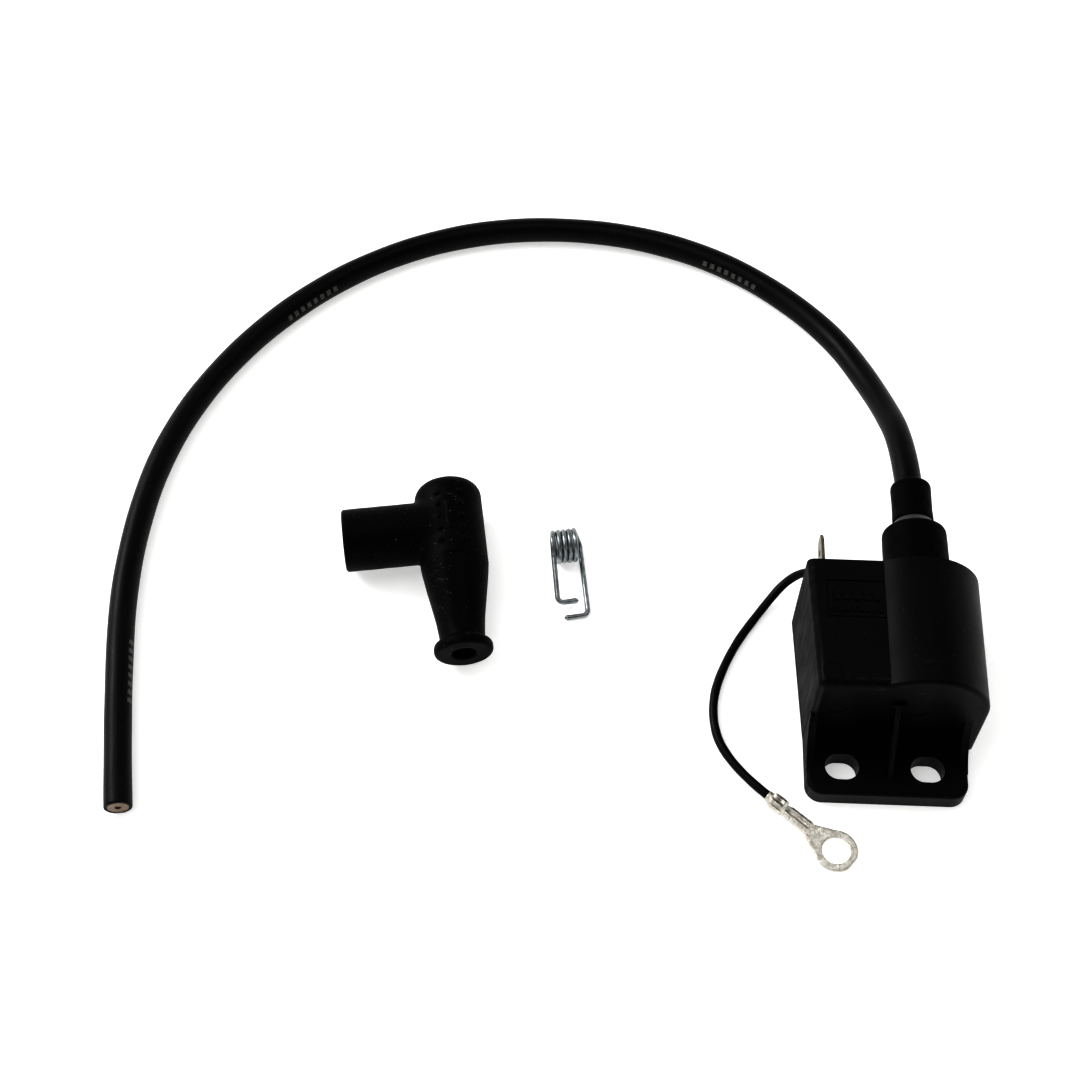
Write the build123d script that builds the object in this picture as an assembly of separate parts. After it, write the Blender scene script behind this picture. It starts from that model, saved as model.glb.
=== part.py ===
from build123d import *
import math
import os

# Small-engine ignition coil: a potted CDI module with its high-tension lead, its ground lead,
# and the loose spark-plug boot and spring terminal that come with it.
#
# Frame, in millimetres: the origin is midway between the two mounting slots on the mounting
# face, +X runs along the slots, +Y runs towards the high-tension tower and +Z is up from the
# mounting face. The loose pieces lie on the same surface as the mounting face.

# ---- Driving dimensions -------------------------------------------------------------------

# Mounting flange
SLOT_SPACING = 21.0
SLOT_LENGTH = 8.4
SLOT_WIDTH = 6.8
FLANGE_THICKNESS = 5.6
FLANGE_LEFT = -19.2
FLANGE_RIGHT = 20.3
FLANGE_FRONT = -7.3
FLANGE_CORNER = 4.0
FLANGE_EDGE = 0.9

# Moulded housing, open at the rear
FRONT_WALL_Y = 8.4
REAR_RIM_Y = 42.9
WALL = 2.0
BOX_HEIGHT = 32.8
LEFT_LEAN = 1.6
BARREL_X = 7.0
BARREL_Z = 19.4
BARREL_RADIUS = 16.3
HOUSING_EDGE = 1.8
BARREL_EDGE = 1.1

# Ribs between the front wall and the flange
RIB_X = 1.0
RIB_TOP_Z = 24.6
RIB_FOOT_Y = -4.2
RIB_TOP_THICKNESS = 1.3
RIB_ROOT_THICKNESS = 4.6
GUSSET_THICKNESS = 1.9
GUSSET_TOP_Z = 16.5
GUSSET_FOOT_Y = -0.8

# Legend panel on the top face, with plain raised pads
PANEL_LEFT = -16.6
PANEL_FRONT = 26.8
PANEL_REAR = 37.1
PANEL_GROOVE = 0.35
PANEL_DEPTH = 0.25
PAD_HEIGHT = 0.3
LARGE_PADS = 5
SMALL_PADS = 8

# Round marks that the mould's ejector pins leave
PIN_MARK_RADIUS = 2.4
PIN_MARK_DEPTH = 0.15
TOP_MARK = (-15.8, 12.2)
WALL_MARKS = ((-13.3, 20.7), (6.1, 20.2))

# Resin fill and the high-tension tower
RESIN_Y = 41.7
TOWER_X = 8.5
TOWER_BASE_Y = 39.9
TOWER_RADIUS = 6.7
TOWER_COLLAR_RADIUS = 8.4
TOWER_CONE_Y = 55.6
NECK_RADIUS = 4.9
BOOT_RADIUS = 8.55
BOOT_DRAFT = 0.35
BOOT_SHOULDER = 1.7
BOOT_TOP_Y = 59.6
NECK_BASE_RADIUS = BOOT_RADIUS - BOOT_DRAFT - BOOT_SHOULDER
SLEEVE_RADIUS = 5.25
SLEEVE_BASE_Y = 62.3
SLEEVE_SEAT_RADIUS = 4.2
SLEEVE_SEAT_Y = 66.0
SLEEVE_TIP_Y = 73.8
SLEEVE_ROUNDING = 1.3

# Brass contact: disc, stem, and the point that pierces the conductor
CONTACT_REAR_Y = TOWER_BASE_Y + 0.3
CONTACT_DISC_RADIUS = 3.2
CONTACT_STEM_RADIUS = 1.3
SPIKE_RADIUS = 0.5
SPIKE_TAPER_Y = 56.0
SPIKE_ROOT_Y = 58.0
SPIKE_TIP_Y = 64.0

# High-tension lead: jacket, insulation and stranded conductor
LEAD_DIAMETER = 7.0
LEAD_INSULATION_DIAMETER = 5.4
LEAD_CONDUCTOR_DIAMETER = 1.6
LEAD_ROUTE = [
    (TOWER_X, 58, BARREL_Z),
    (TOWER_X, 84, BARREL_Z),
    (4, 109.5, 8.8),
    (-9, 137.5, 3.5),
    (-36.5, 159.5, 3.5),
    (-70, 170, 3.5),
    (-108, 168.7, 3.5),
    (-142.5, 154, 3.5),
    (-171.2, 127, 3.5),
    (-190, 92, 3.5),
    (-195.3, 52, 3.5),
    (-191.3, 12, 3.5),
    (-186.5, -17.2, 3.5),
]

# Ground lead and its ring terminal
GROUND_DIAMETER = 2.3
GROUND_STRANDS_DIAMETER = 1.3
GROUND_ROUTE = [
    (-13.5, 40.5, 12),
    (-13.5, 48, 12.2),
    (-17, 52.5, 11),
    (-22.3, 52.8, 5),
    (-28, 46.8, 1.2),
    (-37.2, 33, 1.2),
    (-42.6, 17.3, 1.2),
    (-39, 2.2, 1.4),
    (-28.3, -6.9, 1.9),
]
RING_X = -12.1
RING_Y = -20.0
RING_HOLE_RADIUS = 3.5
RING_OUTER_RADIUS = 5.3
RING_THICKNESS = 0.8
RING_ANGLE = 141.0
CRIMP_START = 21.0
CRIMP_STEP = 15.4
CRIMP_END = 8.6
CRIMP_RADIUS = 1.9
CRIMP_FLOOR = 0.55

# Spade terminal, 6.3 x 0.8 mm
SPADE_X = -15.5
SPADE_Z = 20.5
SPADE_WIDTH = 6.3
SPADE_THICKNESS = 0.8
SPADE_TIP_Y = 56.3
SPADE_ROOT_Y = 36.0

# Ignition transformer on the barrel axis
PACK_FRONT_Y = 12.0
PACK_REAR_Y = 38.4
CORE_SIDE = 6.4
CORE_SHEETS = 8
PRIMARY_TUBE_RADIUS = 5.4
PRIMARY_COPPER_RADIUS = 6.6
PRIMARY_FLANGE_RADIUS = 7.0
SECONDARY_TUBE_RADIUS = 8.0
SECONDARY_COPPER_RADIUS = 11.0
SECONDARY_FLANGE_RADIUS = 11.8
BOBBIN_FLANGE = 0.9
CAP_GAP = 0.4
SECONDARY_SECTIONS = 5

# Electronics beside the transformer
BOARD_X = -14.2
BOARD_THICKNESS = 1.2
BOARD_Y = (15.0, 38.0)
BOARD_Z = (4.5, 28.0)
LEG = 0.7
CAPACITOR_RIGHT = -6.2
CAPACITOR_Y = (18.5, 34.5)
CAPACITOR_Z = (5.5, 15.5)
THYRISTOR_X = (-12.4, -8.8)
THYRISTOR_Y = (17.5, 25.5)
THYRISTOR_Z = (18.5, 26.0)
THYRISTOR_TAB = 0.8
THYRISTOR_LEG_Z = (21.6, 22.2)
DIODE_X = -12.0
DIODE_HEIGHTS = (18.2, 21.8, 25.4)
DIODE_Y = (29.0, 34.0)
DIODE_RADIUS = 1.35
PART_WIRE_RADIUS = 0.35
WIRE_REACH = 1.6
RESISTOR_X = -4.4
RESISTOR_HEIGHTS = (7.6, 11.6)
RESISTOR_Y = (20.0, 26.0)
RESISTOR_RADIUS = 1.1
JUMPER_RIGHT = -5.6
JUMPERS = ((36.2, 27.0), (37.2, 16.8))

# Spark-plug boot, lying on its side
PLUG_X = -110.2
PLUG_Y = 61.3
PLUG_TURN = 8.8
PLUG_RADIUS = 8.8
PLUG_SOCKET_RADIUS = 8.15
PLUG_SOCKET_LENGTH = 28.0
PLUG_HEAD_REACH = 14.3
PLUG_CROWN = 4.6
PLUG_GRIP_ROWS = 5
PLUG_GRIP_PITCH = 3.5
PLUG_GRIP_RADIUS = 0.62
PLUG_GRIP_START = -8.0
PLUG_GRIP_OFFSET = 2.9
PLUG_ARM_LENGTH = 35.6
PLUG_SHOULDER_Y = 10.5
PLUG_RIM_Y = 33.9
PLUG_CLEARANCE = 0.05
PLUG_ARM_TIP_RADIUS = 5.85
PLUG_TAPER = ((7.45, 19.5), (6.35, 26.5))
PLUG_RIM_RADIUS = 7.6
PLUG_LEAD_BORE = 3.1
PLUG_SOCKET_BORE = 5.5

# Spring terminal for the plug boot
SPRING_X = -80.3
SPRING_Y = 60.8
SPRING_TURN = 12.0
SPRING_WIRE = 1.2
SPRING_MEAN_RADIUS = 3.9
SPRING_PITCH = 1.4
SPRING_FULL_TURNS = 4
SPRING_LEG_SLOPE = 25.0
SPRING_LEFT_LEG = 14.5
SPRING_RIGHT_LEG = 18.6
SPRING_LEFT_HOOK = 4.6
SPRING_RIGHT_HOOK = 5.8
SPRING_BEND = 1.8


# ---- Helpers ------------------------------------------------------------------------------


def save(shape, name):
    """Write one node."""
    export_step(shape, f"parts/{name}.step")


def block(x, y, z):
    """Box between two limits along each axis."""
    size = (x[1] - x[0], y[1] - y[0], z[1] - z[0])
    return Pos((x[0] + x[1]) / 2, (y[0] + y[1]) / 2, (z[0] + z[1]) / 2) * Box(*size)


def rod_y(x, z, radius, start, end):
    """Round bar along Y."""
    bar = Cylinder(radius, end - start, rotation=(90, 0, 0))
    return Pos(x, (start + end) / 2, z) * bar


def tube_y(x, z, outer, inner, start, end):
    """Round tube along Y."""
    return rod_y(x, z, outer, start, end) - rod_y(x, z, inner, start - 1, end + 1)


def turned(points, turn=360):
    """Solid of revolution about local Y, from (radius, height) points."""
    outline = make_face(Polyline(*points, close=True))
    return revolve(outline, Axis.Y, turn)


def route_line(points, name):
    """Straight runs joined by tangent arcs, each arc as large as its two runs allow."""
    vectors = [Vector(*point) for point in points]
    runs = [end - start for start, end in zip(vectors, vectors[1:])]
    radii = []
    for run, following in zip(runs, runs[1:]):
        turn = math.radians(run.get_angle(following))
        radii.append(0.45 * min(run.length, following.length) / math.tan(turn / 2))
    line = FilletPolyline(*points, radius=radii)
    print(name, "length", round(line.length, 1), "radii", [round(r, 1) for r in radii])
    return line


def sweep_round(line, diameter, bore=0.0):
    """Round section carried along a line."""
    plane = Plane(origin=line @ 0, z_dir=line % 0)
    section = plane * Circle(diameter / 2)
    if bore:
        section = section - plane * Circle(bore / 2)
    return sweep(section, path=line)


def report_sweep(name, shape, line, diameter, bore=0.0):
    """Print a swept solid's volume beside its section times its length."""
    expected = math.pi / 4 * (diameter**2 - bore**2) * line.length
    print(name, "volume", round(shape.volume, 1), "expected", round(expected, 1))


# ---- Housing ------------------------------------------------------------------------------


def housing_form(inset, front, rear, box_edge=0.0, barrel_edge=0.0):
    """Box on the left joined to a round-topped barrel on the right, set in by a wall."""
    lean = LEFT_LEAN / (REAR_RIM_Y - FRONT_WALL_Y)
    left_front = FLANGE_LEFT - lean * (front - FRONT_WALL_Y) + inset
    left_rear = FLANGE_LEFT - lean * (rear - FRONT_WALL_Y) + inset
    plan = Polyline(
        (left_front, front),
        (BARREL_X, front),
        (BARREL_X, rear),
        (left_rear, rear),
        close=True,
    )
    box = extrude(Pos(0, 0, inset) * make_face(plan), BOX_HEIGHT - 2 * inset, dir=(0, 0, 1))
    if box_edge:
        upright = box.edges().filter_by(Axis.Z).group_by(Axis.Y)[0].sort_by(Axis.X)[0]
        top_edges = box.edges().group_by(Axis.Z)[-1]
        top_left = top_edges.sort_by(Axis.X)[0]
        top_front = top_edges.sort_by(Axis.Y)[0]
        box = fillet([upright, top_left, top_front], box_edge)

    radius = BARREL_RADIUS - inset
    right = BARREL_X + radius
    left = BARREL_X - radius
    section = make_face(
        [
            Line((left, inset), (right, inset)),
            Line((right, inset), (right, BARREL_Z)),
            CenterArc((BARREL_X, BARREL_Z), radius, 0, 180),
            Line((left, BARREL_Z), (left, inset)),
        ]
    )
    front_plane = Plane(origin=(0, front, 0), x_dir=(1, 0, 0), z_dir=(0, -1, 0))
    barrel = extrude(front_plane * section, rear - front, dir=(0, 1, 0))
    if barrel_edge:
        front_edges = barrel.edges().group_by(Axis.Y)[0]
        rounded = [edge for edge in front_edges if edge.center().Z > inset + 1]
        rounded = [edge for edge in rounded if edge.center().X > left + 1]
        barrel = fillet(rounded, barrel_edge)
    return box + barrel


def make_flange():
    """Mounting flange with round front corners, ahead of the front wall."""
    flange = block(
        (FLANGE_LEFT, FLANGE_RIGHT),
        (FLANGE_FRONT, FRONT_WALL_Y + WALL),
        (0, FLANGE_THICKNESS),
    )
    corners = flange.edges().filter_by(Axis.Z).group_by(Axis.Y)[0]
    flange = fillet(corners, FLANGE_CORNER)
    top_edges = flange.edges().group_by(Axis.Z)[-1]
    rounded = [edge for edge in top_edges if edge.center().Y < FRONT_WALL_Y + 1]
    return fillet(rounded, FLANGE_EDGE)


def make_centre_rib():
    """Drafted rib that runs down from the front wall to the flange between the slots."""
    drop = RIB_TOP_Z - FLANGE_THICKNESS
    reach = FRONT_WALL_Y - RIB_FOOT_Y
    low = 1.0
    depth = RIB_TOP_Z - low
    flare = (RIB_ROOT_THICKNESS - RIB_TOP_THICKNESS) / 2 * depth / drop
    half_top = RIB_TOP_THICKNESS / 2
    section = Polyline(
        (RIB_X - half_top, RIB_TOP_Z),
        (RIB_X + half_top, RIB_TOP_Z),
        (RIB_X + half_top + flare, low),
        (RIB_X - half_top - flare, low),
        close=True,
    )
    wall_plane = Plane(origin=(0, FRONT_WALL_Y + 1, 0), x_dir=(1, 0, 0), z_dir=(0, -1, 0))
    slope = (0, -reach, -drop)
    rib = extrude(wall_plane * make_face(section), 1.2 * math.hypot(reach, drop), dir=slope)
    rib = rib & block((-10, 12), (FLANGE_FRONT, FRONT_WALL_Y + 1), (low, RIB_TOP_Z + 1))
    cap = block(
        (RIB_X - 1.6, RIB_X + 1.6),
        (FRONT_WALL_Y - 0.9, FRONT_WALL_Y + 1),
        (RIB_TOP_Z - 1.3, RIB_TOP_Z + 0.3),
    )
    return rib + cap


def make_gusset(left):
    """Curved web along one side of the flange, GUSSET_THICKNESS wide."""
    outline = make_face(
        [
            ThreePointArc(
                (FRONT_WALL_Y, GUSSET_TOP_Z),
                (4.6, 8.6),
                (GUSSET_FOOT_Y, FLANGE_THICKNESS),
            ),
            Line((GUSSET_FOOT_Y, FLANGE_THICKNESS), (GUSSET_FOOT_Y, 1)),
            Line((GUSSET_FOOT_Y, 1), (FRONT_WALL_Y + 1, 1)),
            Line((FRONT_WALL_Y + 1, 1), (FRONT_WALL_Y + 1, GUSSET_TOP_Z)),
            Line((FRONT_WALL_Y + 1, GUSSET_TOP_Z), (FRONT_WALL_Y, GUSSET_TOP_Z)),
        ]
    )
    side_plane = Plane(origin=(left, 0, 0), x_dir=(0, 1, 0), z_dir=(1, 0, 0))
    return extrude(side_plane * outline, GUSSET_THICKNESS, dir=(1, 0, 0))


def legend_groove():
    """Shallow three-sided frame on the top face, open towards the barrel."""
    outer = block(
        (PANEL_LEFT, BARREL_X - 9.3),
        (PANEL_FRONT, PANEL_REAR),
        (BOX_HEIGHT - PANEL_DEPTH, BOX_HEIGHT + 1),
    )
    inner = block(
        (PANEL_LEFT + PANEL_GROOVE, BARREL_X),
        (PANEL_FRONT + PANEL_GROOVE, PANEL_REAR - PANEL_GROOVE),
        (0, BOX_HEIGHT + 2),
    )
    return outer - inner


def legend_pads():
    """Two rows of plain raised pads where a maker would put a mark."""
    pads = []
    for index in range(LARGE_PADS):
        x = PANEL_LEFT + 1.7 + 2.4 * index
        pads.append(block((x, x + 1.5), (31.6, 34.4), (BOX_HEIGHT - 0.5, BOX_HEIGHT + PAD_HEIGHT)))
    for index in range(SMALL_PADS):
        x = PANEL_LEFT + 1.3 + 1.6 * index
        pads.append(block((x, x + 0.9), (28.4, 29.8), (BOX_HEIGHT - 0.5, BOX_HEIGHT + PAD_HEIGHT)))
    return pads


def side_seam():
    """Fine seam along the foot of the leaning left wall."""
    lean = math.degrees(math.atan2(LEFT_LEAN, REAR_RIM_Y - FRONT_WALL_Y))
    middle = (FRONT_WALL_Y + REAR_RIM_Y) / 2
    seam = Rot(0, 0, lean) * Box(0.6, REAR_RIM_Y - FRONT_WALL_Y + 4, 0.35)
    return Pos(FLANGE_LEFT - LEFT_LEAN / 2, middle, 1.5) * seam


def pin_marks():
    """Shallow ring on the top face and two shallow discs on the front wall."""
    ring = Cylinder(PIN_MARK_RADIUS, 2) - Cylinder(PIN_MARK_RADIUS - 0.25, 3)
    marks = [Pos(*TOP_MARK, BOX_HEIGHT - PIN_MARK_DEPTH + 1) * ring]
    for x, z in WALL_MARKS:
        marks.append(rod_y(x, z, PIN_MARK_RADIUS, FRONT_WALL_Y - 1, FRONT_WALL_Y + PIN_MARK_DEPTH))
    return marks


def make_housing():
    """Moulded shell: box, barrel, flange, ribs and legend panel."""
    shell = housing_form(0, FRONT_WALL_Y, REAR_RIM_Y, HOUSING_EDGE, BARREL_EDGE)
    shell += make_flange()
    shell += make_centre_rib()
    shell += make_gusset(FLANGE_LEFT)
    shell += make_gusset(FLANGE_RIGHT - GUSSET_THICKNESS)
    shell -= housing_form(WALL, FRONT_WALL_Y + WALL, REAR_RIM_Y + 1)
    for side in (-1, 1):
        slot = extrude(SlotOverall(SLOT_LENGTH, SLOT_WIDTH), FLANGE_THICKNESS + 2)
        shell -= Pos(side * SLOT_SPACING / 2, 0, -1) * slot
    shell -= legend_groove()
    shell -= side_seam()
    for mark in pin_marks():
        shell -= mark
    for pad in legend_pads():
        shell += pad
    return shell


# ---- Ignition transformer -----------------------------------------------------------------


def make_core():
    """Stack of steel sheets, laid flat, side by side."""
    thickness = CORE_SIDE / CORE_SHEETS
    sheets = []
    for index in range(CORE_SHEETS):
        low = BARREL_Z - CORE_SIDE / 2 + thickness * index
        half = CORE_SIDE / 2
        sheets.append(
            block(
                (BARREL_X - half, BARREL_X + half),
                (PACK_FRONT_Y, PACK_REAR_Y),
                (low, low + 0.94 * thickness),
            )
        )
    return Compound(children=sheets)


def make_primary_bobbin():
    """Round tube over the square core, with an end flange at each end."""
    bobbin = rod_y(BARREL_X, BARREL_Z, PRIMARY_TUBE_RADIUS, PACK_FRONT_Y, PACK_REAR_Y)
    for start in (PACK_FRONT_Y, PACK_REAR_Y - BOBBIN_FLANGE):
        bobbin += rod_y(BARREL_X, BARREL_Z, PRIMARY_FLANGE_RADIUS, start, start + BOBBIN_FLANGE)
    half = CORE_SIDE / 2 + 0.1
    core_hole = block(
        (BARREL_X - half, BARREL_X + half),
        (PACK_FRONT_Y - 1, PACK_REAR_Y + 1),
        (BARREL_Z - half, BARREL_Z + half),
    )
    return bobbin - core_hole


def make_primary_winding():
    """Copper layer between the primary bobbin's flanges."""
    return tube_y(
        BARREL_X,
        BARREL_Z,
        PRIMARY_COPPER_RADIUS,
        PRIMARY_TUBE_RADIUS,
        PACK_FRONT_Y + BOBBIN_FLANGE,
        PACK_REAR_Y - BOBBIN_FLANGE,
    )


def section_starts():
    """Start of each secondary flange along Y, evenly spaced."""
    step = (PACK_REAR_Y - PACK_FRONT_Y - BOBBIN_FLANGE) / SECONDARY_SECTIONS
    return [PACK_FRONT_Y + step * index for index in range(SECONDARY_SECTIONS + 1)]


def make_secondary_bobbin():
    """Tube with evenly spaced flanges that part the winding into sections."""
    bobbin = rod_y(BARREL_X, BARREL_Z, SECONDARY_TUBE_RADIUS, PACK_FRONT_Y, PACK_REAR_Y)
    for start in section_starts():
        flange = rod_y(BARREL_X, BARREL_Z, SECONDARY_FLANGE_RADIUS, start, start + BOBBIN_FLANGE)
        bobbin += flange
    inner = PRIMARY_FLANGE_RADIUS + 0.1
    return bobbin - rod_y(BARREL_X, BARREL_Z, inner, PACK_FRONT_Y - 1, PACK_REAR_Y + 1)


def make_secondary_winding():
    """One ring of fine wire in each section of the secondary bobbin."""
    starts = section_starts()
    rings = []
    for start, following in zip(starts, starts[1:]):
        ring = tube_y(
            BARREL_X,
            BARREL_Z,
            SECONDARY_COPPER_RADIUS,
            SECONDARY_TUBE_RADIUS,
            start + BOBBIN_FLANGE,
            following,
        )
        rings.append(ring)
    return Compound(children=rings)


def make_end_cap():
    """Insulating disc that closes the rear of the winding pack."""
    return rod_y(BARREL_X, BARREL_Z, SECONDARY_FLANGE_RADIUS - 0.6, PACK_REAR_Y, TOWER_BASE_Y - CAP_GAP)


# ---- Tower, spike, boot and sleeve --------------------------------------------------------


def on_tower(shape):
    """Carry a shape turned about Y at the origin to the tower's axis."""
    return Pos(TOWER_X, 0, BARREL_Z) * shape


def make_spike():
    """Brass contact disc with the spike that pierces the lead's conductor."""
    outline = [
        (0, TOWER_BASE_Y - CAP_GAP),
        (CONTACT_DISC_RADIUS, TOWER_BASE_Y - CAP_GAP),
        (CONTACT_DISC_RADIUS, CONTACT_REAR_Y),
        (CONTACT_STEM_RADIUS, CONTACT_REAR_Y),
        (CONTACT_STEM_RADIUS, SPIKE_TAPER_Y),
        (SPIKE_RADIUS, SPIKE_ROOT_Y),
        (SPIKE_RADIUS, SPIKE_TIP_Y - 1),
        (0, SPIKE_TIP_Y),
    ]
    return on_tower(turned(outline))


def make_tower():
    """Moulded tube that holds the lead's end, set in the resin by its collar."""
    bore = LEAD_DIAMETER / 2 + 0.05
    collar_y = RESIN_Y - 0.4
    outline = [
        (CONTACT_STEM_RADIUS, CONTACT_REAR_Y),
        (TOWER_COLLAR_RADIUS, CONTACT_REAR_Y),
        (TOWER_COLLAR_RADIUS, collar_y),
        (TOWER_RADIUS, collar_y),
        (TOWER_RADIUS, TOWER_CONE_Y),
        (NECK_BASE_RADIUS, BOOT_TOP_Y),
        (NECK_RADIUS, SLEEVE_BASE_Y),
        (SLEEVE_SEAT_RADIUS, SLEEVE_BASE_Y),
        (SLEEVE_SEAT_RADIUS, SLEEVE_SEAT_Y),
        (bore, SLEEVE_SEAT_Y),
        (bore, SPIKE_ROOT_Y),
        (SPIKE_RADIUS, SPIKE_ROOT_Y),
        (CONTACT_STEM_RADIUS, SPIKE_TAPER_Y),
    ]
    return on_tower(turned(outline))


def make_tower_boot():
    """Rubber boot over the tower, with a rounded shoulder."""
    centre = (NECK_BASE_RADIUS, BOOT_TOP_Y - BOOT_SHOULDER)
    outline = make_face(
        [
            Line((TOWER_RADIUS, RESIN_Y), (BOOT_RADIUS, RESIN_Y)),
            Line((BOOT_RADIUS, RESIN_Y), (BOOT_RADIUS - BOOT_DRAFT, centre[1])),
            CenterArc(centre, BOOT_SHOULDER, 0, 90),
            Line((NECK_BASE_RADIUS, BOOT_TOP_Y), (TOWER_RADIUS, TOWER_CONE_Y)),
            Line((TOWER_RADIUS, TOWER_CONE_Y), (TOWER_RADIUS, RESIN_Y)),
        ]
    )
    return on_tower(revolve(outline, Axis.Y, 360))


def make_lead_sleeve():
    """Rubber sleeve that seals the lead to the tower's neck."""
    bore = LEAD_DIAMETER / 2 + 0.1
    centre = (SLEEVE_RADIUS - SLEEVE_ROUNDING, SLEEVE_TIP_Y - SLEEVE_ROUNDING)
    outline = make_face(
        [
            Line((SLEEVE_SEAT_RADIUS, SLEEVE_BASE_Y), (SLEEVE_RADIUS, SLEEVE_BASE_Y)),
            Line((SLEEVE_RADIUS, SLEEVE_BASE_Y), (SLEEVE_RADIUS, centre[1])),
            CenterArc(centre, SLEEVE_ROUNDING, 0, 90),
            Line((centre[0], SLEEVE_TIP_Y), (bore, SLEEVE_TIP_Y)),
            Line((bore, SLEEVE_TIP_Y), (bore, SLEEVE_SEAT_Y)),
            Line((bore, SLEEVE_SEAT_Y), (SLEEVE_SEAT_RADIUS, SLEEVE_SEAT_Y)),
            Line((SLEEVE_SEAT_RADIUS, SLEEVE_SEAT_Y), (SLEEVE_SEAT_RADIUS, SLEEVE_BASE_Y)),
        ]
    )
    return on_tower(revolve(outline, Axis.Y, 360))


# ---- Electronics --------------------------------------------------------------------------


def make_board():
    """Circuit board on edge, parallel to the left wall."""
    return block((BOARD_X - BOARD_THICKNESS, BOARD_X), BOARD_Y, BOARD_Z)


def make_capacitor():
    """Boxed film capacitor that stores the charge for each spark."""
    body = block((BOARD_X, CAPACITOR_RIGHT), CAPACITOR_Y, CAPACITOR_Z)
    return fillet(body.edges().filter_by(Axis.X), 0.8)


def make_thyristor():
    """Switching thyristor in a flat plastic package with a metal tab and three legs."""
    package = block(THYRISTOR_X, THYRISTOR_Y, THYRISTOR_Z)
    right = THYRISTOR_X[1]
    tab = block((right, right + THYRISTOR_TAB), THYRISTOR_Y, (THYRISTOR_Z[0], THYRISTOR_Z[1] + 1.4))
    middle = (THYRISTOR_Y[0] + THYRISTOR_Y[1]) / 2
    legs = []
    for offset in (-2.54, 0, 2.54):
        low = middle + offset - LEG / 2
        legs.append(block((BOARD_X, THYRISTOR_X[0]), (low, low + LEG), THYRISTOR_LEG_Z))
    return package + tab + legs


def make_diodes():
    """Three rectifier diodes, each a round body with a lead at each end."""
    wire_y = (DIODE_Y[0] - WIRE_REACH, DIODE_Y[1] + WIRE_REACH)
    diodes = []
    for z in DIODE_HEIGHTS:
        body = rod_y(DIODE_X, z, DIODE_RADIUS, *DIODE_Y)
        wire = rod_y(DIODE_X, z, PART_WIRE_RADIUS, *wire_y)
        feet = []
        for y in (wire_y[0], wire_y[1] - LEG):
            feet.append(block((BOARD_X, DIODE_X + 0.3), (y, y + LEG), (z - 0.3, z + 0.3)))
        diodes.append(body + wire + feet)
    return Compound(children=diodes)


def make_resistors():
    """Two gate resistors, each a round body with a lead at each end."""
    resistors = []
    for z in RESISTOR_HEIGHTS:
        wire = rod_y(RESISTOR_X, z, PART_WIRE_RADIUS, RESISTOR_Y[0] - 2, RESISTOR_Y[1] + 2)
        resistors.append(rod_y(RESISTOR_X, z, RESISTOR_RADIUS, *RESISTOR_Y) + wire)
    return Compound(children=resistors)


def make_jumpers():
    """Two insulated wires from the board to the primary winding's ends."""
    jumpers = []
    for y, z in JUMPERS:
        jumpers.append(block((BOARD_X, JUMPER_RIGHT), (y - 0.3, y + 0.3), (z - 0.3, z + 0.3)))
    return Compound(children=jumpers)


def make_spade():
    """Flat 6.3 mm blade with a chamfered tip, a hole, and a solder foot in the resin."""
    half = SPADE_WIDTH / 2
    outline = Polyline(
        (SPADE_ROOT_Y, SPADE_Z - half),
        (SPADE_TIP_Y - 2.2, SPADE_Z - half),
        (SPADE_TIP_Y, SPADE_Z - 1.7),
        (SPADE_TIP_Y, SPADE_Z + 1.7),
        (SPADE_TIP_Y - 2.2, SPADE_Z + half),
        (SPADE_ROOT_Y, SPADE_Z + half),
        close=True,
    )
    plane = Plane(origin=(SPADE_X - SPADE_THICKNESS / 2, 0, 0), x_dir=(0, 1, 0), z_dir=(1, 0, 0))
    blade = extrude(plane * make_face(outline), SPADE_THICKNESS, dir=(1, 0, 0))
    blade = chamfer(blade.edges().filter_by(Axis.Z).sort_by(Axis.Y)[-2:], 0.25)
    hole = Pos(SPADE_X, SPADE_TIP_Y - 4.6, SPADE_Z) * Cylinder(0.85, 3, rotation=(0, 90, 0))
    return blade - hole - make_board()


# ---- Leads --------------------------------------------------------------------------------


def make_ring_terminal():
    """Flat ring with a tapering neck and two rolled crimp barrels, lying on the surface."""
    ring = Cylinder(RING_OUTER_RADIUS, RING_THICKNESS)
    neck = make_face(
        Polyline((2.0, -4.6), (CRIMP_END + 0.6, -1.6), (CRIMP_END + 0.6, 1.6), (2.0, 4.6), close=True)
    )
    strip = block((CRIMP_END, CRIMP_START), (-1.5, 1.5), (0, CRIMP_FLOOR))
    plate = Pos(0, 0, RING_THICKNESS / 2) * ring + extrude(neck, RING_THICKNESS)
    plate -= Cylinder(RING_HOLE_RADIUS, 5)
    axis_z = GROUND_ROUTE[-1][2]
    barrels = []
    for start, end, inner in (
        (CRIMP_END, CRIMP_STEP - 0.5, GROUND_STRANDS_DIAMETER / 2),
        (CRIMP_STEP, CRIMP_START, GROUND_DIAMETER / 2),
    ):
        barrel = Cylinder(CRIMP_RADIUS, end - start) - Cylinder(inner, end - start + 1)
        barrels.append(Pos((start + end) / 2, 0, axis_z) * Rot(0, 90, 0) * barrel)
    bore = Pos((CRIMP_STEP + CRIMP_START) / 2, 0, axis_z) * Rot(0, 90, 0)
    strip -= bore * Cylinder(GROUND_DIAMETER / 2, CRIMP_START - CRIMP_STEP + 1)
    terminal = plate + strip + barrels
    return Pos(RING_X, RING_Y, 0) * Rot(0, 0, RING_ANGLE) * terminal


# ---- Plug boot and spring -----------------------------------------------------------------


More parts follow.
